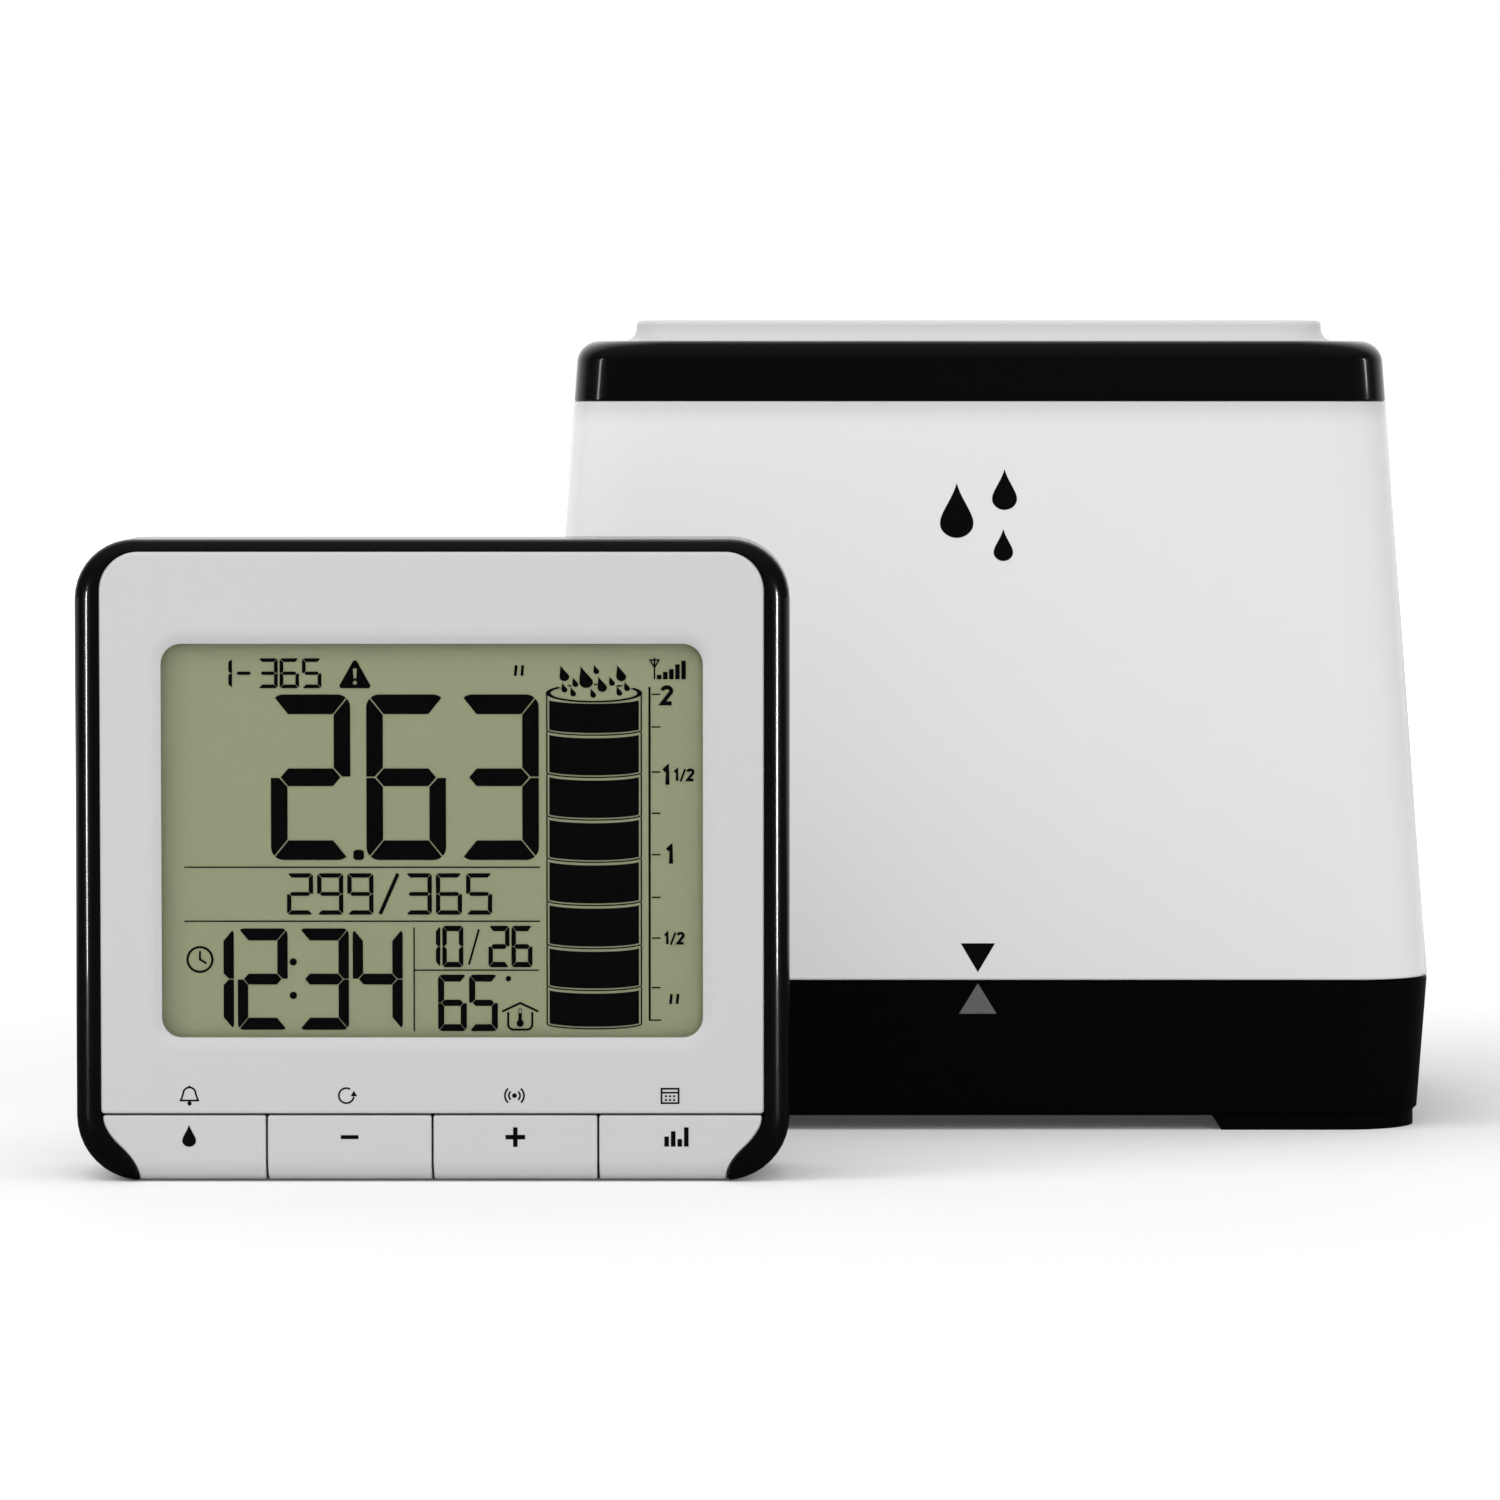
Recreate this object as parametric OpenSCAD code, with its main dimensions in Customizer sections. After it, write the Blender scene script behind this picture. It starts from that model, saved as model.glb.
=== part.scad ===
/* [Pair] */
// Distance across between the middles of the console and the sensor
pair_pitch = 86.3; // [80:0.1:160]
// Free space between the console's back and the sensor's front
pair_gap = 44.6; // [38:0.2:130]

/* [Sensor outside] */
// Distance from a mounting hole to the side of the base, across
mount_edge = 14.9; // [12:0.1:25]
// Free space between the electronics case and the mounting bosses beside it
mount_room = 4.2; // [1:0.1:12]
// Free space between the cells' lid and the cover's back wall
back_gap = 2.07; // [1.2:0.01:10]
// Radius of the sensor's upright corners
sensor_corner_r = 13; // [10:0.5:18]
// Height of the feet under the base
foot_h = 2.4; // [1.6:0.1:5]
// Width of a foot, across
foot_w = 33; // [24:0.5:40]
// Depth of a foot, front to back
foot_d = 24; // [18:0.5:30]
// Height of the base above its feet
tray_h = 22.3; // [18:0.1:28]
// How far each side of the base leans out towards the top
tray_lean = 1.5; // [0.5:0.1:3]
// Thickness of the base's wall
tray_wall = 2.5; // [2:0.1:3.2]
// Thickness of the base's floor
tray_floor = 2.5; // [2:0.1:4]
// Height of the guide rim that stands up inside the cover
guide_h = 4; // [2:0.1:6]
// Thickness of the guide rim
guide_wall = 1.8; // [1.2:0.1:2.4]
// Height of the cover, from the base to the black collar
cover_h = 94.2; // [88:0.2:120]
// How far each side of the cover leans in
cover_lean = 6.7; // [5:0.1:7]
// Thickness of the cover's wall
cover_wall = 2.2; // [1.8:0.1:2.4]
// Height of the black collar
collar_h = 9.9; // [9:0.1:14]
// Thickness of the collar's side
collar_wall = 2.2; // [1.6:0.1:2.6]
// Thickness of the collar's top
collar_top = 2.4; // [1.6:0.1:3]
// Rounding of the collar's upper edge
collar_round = 3.3; // [1.5:0.1:4]
// Height of the cover's rebate inside the collar
rebate_h = 5.2; // [4.8:0.1:5.4]

/* [Funnel] */
// Height of the funnel's lip above the collar
lip_h = 3.4; // [2.8:0.1:6]
// Distance from the collar's edge to the lip
lip_inset = 9.5; // [8:0.1:14]
// Hollow curve at the foot of the lip
lip_flare = 2.3; // [1:0.1:2.4]
// Thickness of the lip
lip_wall = 1.8; // [1.2:0.1:2.4]
// Corner radius of the lip's inner edge
lip_corner_r = 7; // [5:0.5:9]
// Thickness of the bowl
bowl_wall = 1.8; // [1.4:0.1:2.4]
// Radius of the throat that takes the leaf screen
throat_r = 7; // [6:0.1:8]
// Depth of the throat
throat_h = 6; // [4:0.1:8]
// Height of the throat's mouth above the collar seam, taken downwards
throat_drop = 30.9; // [26:0.1:34]
// Radius of the spout's bore
spout_r = 4; // [3:0.1:4.5]
// Height of the leaf screen
screen_h = 14; // [10:0.5:18]
// Thickness of the leaf screen's wall
screen_wall = 1.2; // [0.8:0.1:1.6]
// Width of a slot in the leaf screen
screen_slot = 2; // [1.2:0.1:2.4]

/* [Tipping bucket] */
// Length of one cup, from the middle to its pouring edge
cup_len = 33; // [30:0.5:34]
// Width of the bucket over its side plates
cup_w = 23; // [18:0.5:23.5]
// Thickness of the bucket's walls
cup_wall = 1.2; // [0.9:0.1:1.6]
// Slope of each cup's floor when the bucket is level
cup_angle = 18; // [16:0.5:20]
// Height of the cup's side at its pouring edge
cup_edge_h = 3; // [2:0.1:4]
// Height of the middle wall over the axle
vane_h = 22.5; // [18:0.5:24]
// Height of the cups' lowest inner edge over the axle
keel_h = 2.5; // [2.4:0.1:3.2]
// Tilt of the bucket each way
tip_angle = 15; // [10:0.5:15.5]
// Height of the axle above the base's floor
axle_h = 29.1; // [27:0.1:31]
// Radius of the axle
axle_r = 1.2; // [1:0.05:1.4]
// Thickness of the boss wall round the axle
axle_boss_wall = 1.4; // [1:0.1:1.6]
// How far the axle stands out of the bearing posts
axle_proud = 1.2; // [0.4:0.1:1.4]
// Thickness of a bearing post
post_t = 2.4; // [1.8:0.1:3]
// Free space between the bucket and a bearing post
post_gap = 1.1; // [0.6:0.1:1.4]
// Height of the bucket's magnet over the axle
magnet_h = 13; // [11:0.5:14]
// Radius of the magnet
magnet_r = 2; // [1.5:0.1:2.5]
// Length of the magnet
magnet_len = 2.5; // [1.5:0.1:3]
// Distance of a stop screw from the axle
stop_x = 20; // [18:0.5:21]
// Radius of a stop screw
stop_r = 1.5; // [1:0.1:1.8]
// Length of a stop screw
stop_len = 16; // [12:0.5:20]

/* [Sensor electronics] */
// Half the width of the electronics case
case_half_w = 40; // [38:0.5:44]
// Thickness of the electronics case's wall
case_wall = 1.8; // [1.4:0.1:2]
// Free space between the axle's end and the electronics case
case_gap = 1.4; // [0.6:0.1:1.6]
// Room for the reed switch in front of the board
reed_room = 2.8; // [2.4:0.1:3]
// Thickness of the circuit boards
board_t = 1.2; // [1:0.1:1.6]
// Room between the board and the cells
cell_room = 1.85; // [1.7:0.05:2]
// Radius of an AA cell
cell_r = 7.1; // [7:0.05:7.25]
// Length of an AA cell with its button
cell_len = 50.5; // [49.5:0.1:50.6]
// Thickness of the lid over the cells
lid_t = 3; // [2.2:0.1:3.2]

/* [Console] */
// Free space between the board's screws and the ledge beside them
side_room = 0.9; // [0.3:0.1:8]
// Free space between the upper case screws' bosses and the ledge above them
brow_room = 3.4; // [1:0.1:12]
// Free space between the lower case screws' bosses and the display frame above them
chin_room = 2.11; // [0.5:0.01:12]
// Free space between the display frame and the upper case screws' bosses
screw_room = 0.95; // [0.3:0.05:8]
// Free space between the circuit board and the bay for the cells
board_room = 2.25; // [1.6:0.05:8]
// Corner radius at the top
console_top_r = 9.1; // [8.5:0.1:12]
// Corner radius at the bottom
console_low_r = 10; // [9:0.1:12]
// Rounding of the black shell's front edge
front_round = 3.2; // [2.5:0.1:3.6]
// Rounding of the black shell's rear edge
back_round = 5; // [3:0.1:6]
// Thickness of the black shell
shell_wall = 2; // [1.6:0.1:2.4]
// Width of the black band beside the panel
band_side = 3.95; // [3.6:0.05:4.2]
// Height of the black band above the panel
band_top = 1.9; // [1.6:0.1:2.4]
// Radius of the panel's upper corners
panel_r = 5.9; // [4.5:0.1:7]
// Thickness of the panel
panel_t = 2.2; // [2:0.1:2.6]
// Height of the line between panel and keys
key_line = 10.4; // [9.6:0.1:11]
// Width of the ledge that the panel lies on
ledge_w = 1.1; // [0.8:0.1:1.4]
// Thickness of that ledge
ledge_t = 1.4; // [1:0.1:1.6]

/* [Display] */
// Width of the display opening
view_w = 82.4; // [76:0.2:83]
// Height of the display opening
view_h = 60; // [52:0.2:60.4]
// Corner radius of the display opening
view_r = 3.1; // [2:0.1:4]
// Width of the sunk border round the display opening
border_w = 1.4; // [0.8:0.1:1.6]
// Depth of the sunk border
border_sink = 0.8; // [0.4:0.1:0.9]
// Thickness of the clear pane
pane_t = 1; // [0.8:0.1:1.1]
// How far the pane and the glass reach past the opening, each side
pane_lap = 1.8; // [1.2:0.1:1.9]
// Thickness of the liquid crystal glass
glass_t = 2.2; // [1.6:0.1:2.4]
// Thickness of the frame round the glass
frame_wall = 1.4; // [1:0.1:1.5]
// Depth of the contact strips behind the glass
strip_t = 2.1; // [1.8:0.1:2.4]

/* [Keys] */
// Travel of a key
key_travel = 0.6; // [0.3:0.05:0.7]
// Gap round a key
key_gap = 0.3; // [0.25:0.05:0.4]
// Rounding of a key's lower front edge
key_round = 3.3; // [2:0.1:3.6]
// Thickness of a key's wall
key_wall = 1.6; // [1.2:0.1:1.8]
// How far the black corners sweep in beside the keys
sweep_in = 5.4; // [4:0.1:6]
// Radius of a switch plunger
plunger_r = 1.7; // [1.4:0.1:1.9]
// Thickness of a switch body
switch_t = 2.2; // [2:0.1:2.4]
// Width of a switch body
switch_w = 6; // [5:0.1:6.2]

/* [Console back] */
// Room for a cell's spring in the bay
bay_spring = 5.7; // [4.5:0.1:7]
// Thickness of the battery cover
door_t = 1.8; // [1.4:0.1:1.9]
// Free space between the fold-out leg and the battery cover above it
back_rib = 2.75; // [1.6:0.05:8]
// Width of the fold-out leg
leg_w = 44; // [36:0.5:45]
// Length of the fold-out leg, from its axis
leg_len = 35.6; // [28:0.1:60]
// Thickness of the fold-out leg
leg_t = 3.4; // [2.8:0.1:3.4]
// Radius of the leg's pivot pins
leg_pin_r = 1.3; // [1:0.05:1.4]
// Length of the leg's pivot pins
leg_pin_len = 2.5; // [1.5:0.1:2.8]
// Distance of the case screws from the console's sides
screw_in = 10.45; // [9.5:0.05:12]
// Free space between the hanging hole and what lies above and below it
hang_gap = 1.475; // [0.8:0.005:5]
// Radius of the hanging hole
hang_r = 3.3; // [3:0.1:3.5]

/* [Hidden] */

$fn = 48;

// Steps on a rounded corner, and on an edge rounded towards the front or top
corner_steps = 10;
edge_steps = 6;
// Overrun of every cut
over = 1;
// Gap between pieces that slide into each other
fit_gap = 0.3;
// Gap between an axle or pin and its bearing
run_gap = 0.05;

// Heights in the sensor
deck_z = foot_h + tray_floor;
part_z = foot_h + tray_h;
seam_z = part_z + cover_h;
top_z = seam_z + collar_h;
lip_z = top_z + lip_h;
throat_z = seam_z - throat_drop;
shoulder_z = throat_z - throat_h;
axle_z = deck_z + axle_h;

// Values of the electronics case, worked out from the mechanism in front of it
post_y = cup_w / 2 + post_gap;
axle_half = post_y + post_t + axle_proud;
case_y0 = axle_half + case_gap;
board_y0 = case_y0 + case_wall + reed_room;
board_y1 = board_y0 + board_t;
cell_y = board_y1 + cell_room + cell_r;
cell_slack = 0.45;
case_y1 = cell_y + cell_r + cell_slack + case_wall;
case_mid_y = (case_y0 + case_y1) / 2;
case_d = case_y1 - case_y0;
case_corner_r = 3;
spring_h = 2.5;
contact_t = 0.5;
lid_boss_h = 3.8;
cell_z0 = deck_z + case_wall + spring_h;
contact_z = cell_z0 + cell_len + fit_gap;
case_top_z = contact_z + contact_t + lid_boss_h;
cell_gap = 1.2;
cell_xs = [-cell_r - cell_gap / 2 - 2 * cell_r, -cell_gap / 2 - cell_r];
ear_w = 8;
ear_d = 10;
ear_t = 2.4;
ear_x = case_half_w + ear_w / 2;
mount_boss_r = 5;

// Sizes of the sensor, worked out from what it holds
mount_x = case_half_w + ear_w + mount_room + mount_boss_r;
sensor_w = 2 * (mount_x + mount_edge + tray_lean);
lid_lean = cover_lean * (case_top_z + lid_t - part_z) / cover_h;
sensor_d = 2 * (case_y1 + back_gap + cover_wall + lid_lean);

// Depths in the console, all measured back from its face
pane_z = -panel_t;
glass_z = pane_z - glass_t;
board_z = glass_z - strip_t;
board_back_z = board_z - board_t;
key_d = -board_z - key_travel - key_gap;
bay_wall = 1.3;
bay_gap = 0.5;
bay_h = 4 * cell_r + 3 * bay_gap;
bay_len = cell_len + 2 * contact_t + bay_spring;
cover_lap = 1.8;
console_d = door_t + bay_gap + 2 * cell_r + bay_gap / 2 + bay_wall + board_room - board_back_z;

// Widths in the console: the board's screws stand beside the display frame
glass_w = view_w + 2 * pane_lap;
glass_h = view_h + 2 * pane_lap;
pane_slack = 0.15;
frame_w = glass_w + 2 * (pane_slack + frame_wall);
frame_h = glass_h + 2 * (pane_slack + frame_wall);
board_boss_r = 1.9;
board_screw_x = frame_w / 2 + board_boss_r + pane_slack;
console_w = 2 * (board_screw_x + board_boss_r + side_room + ledge_w + band_side);
screw_x = console_w / 2 - screw_in;

// Heights in the console: the case screws stand below and above the display frame
boss_face_r = 2.6;
screw_low_y = key_line + boss_face_r + 0.4 * boss_face_r;
view_low = screw_low_y + boss_face_r + chin_room + frame_wall + pane_slack + pane_lap;
view_y = view_low + view_h / 2;
screw_high_y = view_low + view_h + pane_lap + pane_slack + frame_wall + screw_room + boss_face_r;
leg_toe_gap = 0.2;
leg_axis_y = back_round + leg_toe_gap + leg_t / 2 + leg_len;
bay_y = leg_axis_y + leg_t / 2 + fit_gap + back_rib + cover_lap + bay_h / 2;
hang_slot_r = 1.8;
hang_y = bay_y + bay_h / 2 + cover_lap + hang_gap + hang_r;
// The console is as high as its face or its back needs, whichever is more
console_h = max(screw_high_y + boss_face_r + brow_room + ledge_w + band_top,
    hang_y + hang_r + 1.5 * hang_slot_r + hang_gap + back_round);

pair_step = console_d + pair_gap;
// Places of both units: the box round the pair has its middle at the origin
total_w = console_w / 2 + pair_pitch + sensor_w / 2;
sensor_x = total_w / 2 - sensor_w / 2;
console_x = sensor_x - pair_pitch;
total_d = pair_step + sensor_d;
face_y = -total_d / 2;
sensor_y = total_d / 2 - sensor_d / 2;

// Width and depth of the cover at a height
function lean_at(z) = cover_lean * (z - part_z) / cover_h;
function cover_w_at(z) = sensor_w - 2 * lean_at(z);
function cover_d_at(z) = sensor_d - 2 * lean_at(z);
// Width and depth of the base at a height
function tray_w_at(z) = sensor_w - 2 * tray_lean * (part_z - z) / tray_h;
function tray_d_at(z) = sensor_d - 2 * tray_lean * (part_z - z) / tray_h;

// Points of a rounded rectangle at one height
function ring(w, d, r, z) = [for (q = [0:3]) for (i = [0:corner_steps])
    let (a = 90 * (q + i / corner_steps), sx = (q == 0 || q == 3) ? 1 : -1, sy = q < 2 ? 1 : -1)
    [sx * (w / 2 - r) + r * cos(a), sy * (d / 2 - r) + r * sin(a), z]];
function cover_ring(inset, z) = ring(cover_w_at(z) - 2 * inset, cover_d_at(z) - 2 * inset,
    sensor_corner_r - inset, z);
function tray_ring(inset, z) = ring(tray_w_at(z) - 2 * inset, tray_d_at(z) - 2 * inset,
    sensor_corner_r - inset, z);

// A closed solid through rings that lie one above the other
module loft(rings) {
    n = len(rings[0]);
    m = len(rings);
    points = [for (one = rings) for (p = one) p];
    sides = [for (k = [0:m - 2]) for (i = [0:n - 1])
        [k * n + i, (k + 1) * n + i, (k + 1) * n + (i + 1) % n, k * n + (i + 1) % n]];
    low = [for (i = [0:n - 1]) i];
    high = [for (i = [n - 1:-1:0]) (m - 1) * n + i];
    polyhedron(points, concat([low, high], sides), convexity = 6);
}

// A rounded rectangle with true arcs, its middle at the origin
module plate_2d(w, h, r) {
    square([w - 2 * r, h], center = true);
    square([w, h - 2 * r], center = true);
    for (sx = [-1, 1]) for (sy = [-1, 1])
        translate([sx * (w / 2 - r), sy * (h / 2 - r)]) circle(r);
}

// The same as a block from one height to another
module block(w, h, r, z0, z1) {
    translate([0, 0, z0]) linear_extrude(z1 - z0) plate_2d(w, h, r);
}

// A plain box between two corners
module span_box(a, b) {
    translate(a) cube(b - a);
}

// A profile drawn in Y and Z, carried along X about the middle
module along_x(w) {
    rotate([90, 0, 90]) linear_extrude(w, center = true) children();
}

module sensor_place() {
    translate([sensor_x, sensor_y, 0]) children();
}

// The console is drawn face up: X to the right, Y up the face, Z towards the viewer
module console_place() {
    translate([console_x, face_y, 0]) rotate([90, 0, 0]) children();
}

// Values of the base
tray_chamfer = 0.6;
tray_top = part_z - fit_gap;
guide_inset = cover_wall + fit_gap;
guide_step_z = part_z - 2 * guide_wall;
boss_h = 2.4;
boss_r = 3.2;
pilot_r = 1.2;
pilot_skin = 0.8;
mount_hole_r = 2.2;
mount_boss_h = 3;
// The mounting holes pass through the feet
mount_y = tray_d_at(foot_h) / 2 - foot_d / 2;
drain_r = 8;
gauze_r = 9.5;
gauze_t = 0.6;
gauze_seat = 0.2;
gauze_pitch = 2.6;
gauze_hole = 1.8;
drain_x = cup_len + cup_edge_h;

module drain_spots() {
    for (s = [-1, 1]) translate([s * drain_x, 0, 0]) children();
}

module corner_spots(x, y) {
    for (sx = [-1, 1]) for (sy = [-1, 1]) translate([sx * x, sy * y, 0]) children();
}

// Values of the bearing frame
frame_half_x = stop_x + boss_r + 0.5 * boss_r;
frame_half_y = post_y + post_t;
frame_t = 2.4;
frame_z0 = deck_z + boss_h;
frame_z1 = frame_z0 + frame_t;
frame_screw_x = stop_x - boss_r - stop_r;
frame_screw_y = frame_half_y - boss_r;
post_foot_half = 8;
post_head_r = 4;
pillar_r = 3.2;

module mechanism_spots() {
    corner_spots(frame_screw_x, frame_screw_y) children();
    for (s = [-1, 1]) translate([s * ear_x, case_mid_y, 0]) children();
}

module base_tray() {
    color([0.06, 0.06, 0.065]) sensor_place() difference() {
        union() {
            difference() {
                loft([tray_ring(tray_chamfer, foot_h),
                    tray_ring(0, foot_h + tray_chamfer),
                    tray_ring(0, tray_top),
                    cover_ring(guide_inset, tray_top),
                    cover_ring(guide_inset, part_z + guide_h)]);
                loft([tray_ring(tray_wall, deck_z),
                    tray_ring(tray_wall, guide_step_z - guide_wall),
                    tray_ring(guide_inset + guide_wall, guide_step_z),
                    tray_ring(guide_inset + guide_wall, part_z),
                    cover_ring(guide_inset + guide_wall, part_z + guide_h + over)]);
            }
            intersection() {
                block(tray_w_at(foot_h) - 2 * tray_chamfer, tray_d_at(foot_h) - 2 * tray_chamfer,
                    sensor_corner_r - tray_chamfer, 0, foot_h + tray_floor / 2);
                corner_spots(tray_w_at(foot_h) / 2, tray_d_at(foot_h) / 2)
                    cube([2 * foot_w, 2 * foot_d, 2 * foot_h + tray_floor], center = true);
            }
            mechanism_spots() translate([0, 0, deck_z - tray_floor / 2])
                cylinder(r = boss_r, h = boss_h + tray_floor / 2);
            corner_spots(mount_x, mount_y) translate([0, 0, deck_z - tray_floor / 2])
                cylinder(r = mount_boss_r, h = mount_boss_h + tray_floor / 2);
        }
        mechanism_spots() translate([0, 0, foot_h + pilot_skin])
            cylinder(r = pilot_r, h = deck_z + boss_h - foot_h);
        corner_spots(mount_x, mount_y) translate([0, 0, -over])
            cylinder(r = mount_hole_r, h = deck_z + mount_boss_h + 2 * over);
        drain_spots() {
            translate([0, 0, foot_h - over]) cylinder(r = drain_r, h = tray_floor + 2 * over);
            translate([0, 0, deck_z - gauze_t]) cylinder(r = gauze_r + gauze_seat, h = gauze_t + over);
        }
    }
}

module drain_screens() {
    holes = floor(drain_r / gauze_pitch);
    color("silver") sensor_place() drain_spots() translate([0, 0, deck_z - gauze_t]) difference() {
        cylinder(r = gauze_r, h = gauze_t);
        for (i = [-holes:holes]) for (j = [-holes:holes])
            if (norm([i, j]) * gauze_pitch < drain_r - gauze_hole)
                translate([i * gauze_pitch, j * gauze_pitch, gauze_t / 2])
                    cube([gauze_hole, gauze_hole, gauze_t + over], center = true);
    }
}

module housing_shell() {
    color([0.86, 0.86, 0.87]) sensor_place() difference() {
        loft([cover_ring(0, part_z),
            cover_ring(0, seam_z),
            collar_bore_ring(fit_gap, seam_z),
            collar_bore_ring(fit_gap, seam_z + rebate_h)]);
        loft([cover_ring(cover_wall, part_z - over),
            cover_ring(cover_wall, seam_z - collar_wall - cover_wall),
            collar_bore_ring(fit_gap + cover_wall, seam_z),
            collar_bore_ring(fit_gap + cover_wall, seam_z + rebate_h + over)]);
    }
}

// The collar's inside is upright, and the cover's rebate and the funnel's flange fit in it
function collar_bore_ring(inset, z) = ring(cover_w_at(seam_z) - 2 * (collar_wall + inset),
    cover_d_at(seam_z) - 2 * (collar_wall + inset), sensor_corner_r - collar_wall - inset, z);

// The lip is measured in from the collar's sharp upper edge
lip_r = lip_corner_r + lip_wall;
function lip_ring(out, z) = ring(cover_w_at(top_z) - 2 * (lip_inset - out),
    cover_d_at(top_z) - 2 * (lip_inset - out), lip_r + out, z);

module rim_collar() {
    color([0.04, 0.04, 0.045]) sensor_place() difference() {
        loft(concat([cover_ring(0, seam_z)], [for (i = [0:edge_steps]) let (a = 90 * i / edge_steps)
            cover_ring(collar_round * (1 - cos(a)), top_z - collar_round * (1 - sin(a)))]));
        loft([collar_bore_ring(0, seam_z - over), collar_bore_ring(0, top_z - collar_top)]);
        loft([lip_ring(lip_flare + fit_gap, seam_z), lip_ring(lip_flare + fit_gap, top_z + over)]);
    }
}

// Heights and widths of the bowl between throat and flange, as shares
bowl_height_shares = [0, 0.3, 0.62, 1];
bowl_width_shares = [0, 0.34, 0.72, 1];
bowl_corner_share = 0.9;
// Walls that slope are this much thicker when measured across
slope_share = 1.35;
bowl_ease = 1.2;
lip_edge = 0.5;
flange_z = seam_z + rebate_h;
bowl_top_z = flange_z - 2 * bowl_wall;
bowl_w = cover_w_at(top_z) - 2 * (lip_inset + lip_wall + bowl_ease);
bowl_d = cover_d_at(top_z) - 2 * (lip_inset + lip_wall + bowl_ease);

function bowl_ring(i, out) = let (s = bowl_width_shares[i],
        w = 2 * throat_r + s * (bowl_w - 2 * throat_r), d = 2 * throat_r + s * (bowl_d - 2 * throat_r),
        r = bowl_corner_share * (throat_r + (1 - s) * (d / 2 - throat_r)))
    ring(w + 2 * out, d + 2 * out, r + out, throat_z + bowl_height_shares[i] * (bowl_top_z - throat_z));

spout_clear = 3.5;
spout_z = axle_z + vane_h + spout_clear;

module funnel() {
    steps = len(bowl_width_shares) - 1;
    color([0.8, 0.81, 0.81]) sensor_place() difference() {
        union() {
            loft(concat([for (i = [0:steps]) bowl_ring(i, slope_share * bowl_wall)],
                [lip_ring(lip_flare, flange_z - bowl_wall),
                    lip_ring(lip_flare, flange_z),
                    collar_bore_ring(fit_gap, flange_z),
                    collar_bore_ring(fit_gap, top_z - collar_top),
                    lip_ring(lip_flare, top_z - collar_top)],
                [for (i = [0:edge_steps]) let (a = 90 * i / edge_steps)
                    lip_ring(lip_flare * (1 - sin(a)), top_z + lip_flare * (1 - cos(a)))],
                [lip_ring(0, lip_z - lip_edge), lip_ring(-lip_edge, lip_z)]));
            translate([0, 0, shoulder_z - bowl_wall])
                cylinder(r = throat_r + slope_share * bowl_wall, h = throat_h + bowl_wall);
            translate([0, 0, spout_z]) cylinder(r = spout_r + bowl_wall, h = shoulder_z - spout_z);
        }
        loft(concat([for (i = [0:steps]) bowl_ring(i, 0)],
            [lip_ring(-lip_wall, lip_z - lip_edge), lip_ring(-lip_wall, lip_z + over)]));
        translate([0, 0, shoulder_z]) cylinder(r = throat_r, h = throat_h + over / 4);
        translate([0, 0, spout_z - over]) cylinder(r = spout_r, h = shoulder_z - spout_z + 2 * over);
    }
}

screen_r = throat_r - fit_gap;
screen_z = shoulder_z + fit_gap;
screen_cap = 1.5;
screen_slots = 4;

module leaf_screen() {
    slot_z = shoulder_z + throat_h + screen_cap;
    color([0.13, 0.13, 0.14]) sensor_place() difference() {
        translate([0, 0, screen_z]) cylinder(r = screen_r, h = screen_h);
        translate([0, 0, screen_z - over])
            cylinder(r = screen_r - screen_wall, h = screen_h - screen_cap + over);
        for (i = [0:screen_slots - 1]) rotate([0, 0, 180 * i / screen_slots])
            translate([-throat_r - over, -screen_slot / 2, slot_z])
                cube([2 * (throat_r + over), screen_slot, screen_h - throat_h - 2 * screen_cap]);
        for (i = [-1:1]) translate([i * 2 * screen_slot - screen_slot / 2, -screen_r / 2, screen_z])
            cube([screen_slot, screen_r, screen_h + over]);
    }
}

// One bearing post seen from the front, with its foot in the frame's plate
module post_2d() {
    difference() {
        union() {
            polygon([[-post_foot_half, frame_z0], [post_foot_half, frame_z0], [post_head_r, axle_z],
                [-post_head_r, axle_z]]);
            translate([0, axle_z]) circle(post_head_r);
        }
        translate([0, axle_z]) circle(axle_r + run_gap);
    }
}

// Underside of a lowered cup above the stop screw
keel_low = keel_h - cup_wall / cos(cup_angle);
stop_gap = 0.3;
stop_tip_z = axle_z + keel_low * cos(tip_angle) - stop_gap
    + (stop_x - keel_low * sin(tip_angle)) * tan(cup_angle - tip_angle);
pillar_z = stop_tip_z - stop_len / 2;

module bearing_frame() {
    color([0.75, 0.76, 0.76]) sensor_place() difference() {
        union() {
            block(2 * frame_half_x, 2 * frame_half_y, pillar_r, frame_z0, frame_z1);
            for (s = [-1, 1]) translate([0, s * (post_y + post_t / 2) + post_t / 2, 0])
                rotate([90, 0, 0]) linear_extrude(post_t) post_2d();
            for (s = [-1, 1]) translate([s * stop_x, 0, frame_z0])
                cylinder(r = pillar_r, h = pillar_z - frame_z0);
        }
        corner_spots(frame_screw_x, frame_screw_y) translate([0, 0, frame_z0 - over])
            cylinder(r = pilot_r + run_gap, h = frame_t + 2 * over);
        for (s = [-1, 1]) translate([s * stop_x, 0, stop_tip_z - stop_len])
            cylinder(r = stop_r, h = stop_len + over);
    }
}

module stop_screws() {
    color("silver") sensor_place() for (s = [-1, 1])
        translate([s * stop_x, 0, stop_tip_z - stop_len]) difference() {
            cylinder(r = stop_r, h = stop_len);
            cube([3 * stop_r, stop_r / 2, stop_r], center = true);
        }
}

screw_head_r = 2.6;
screw_head_h = 1.8;
screw_slot_share = 0.3;
mechanism_screw_len = frame_t + boss_h + tray_floor / 2;

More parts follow.
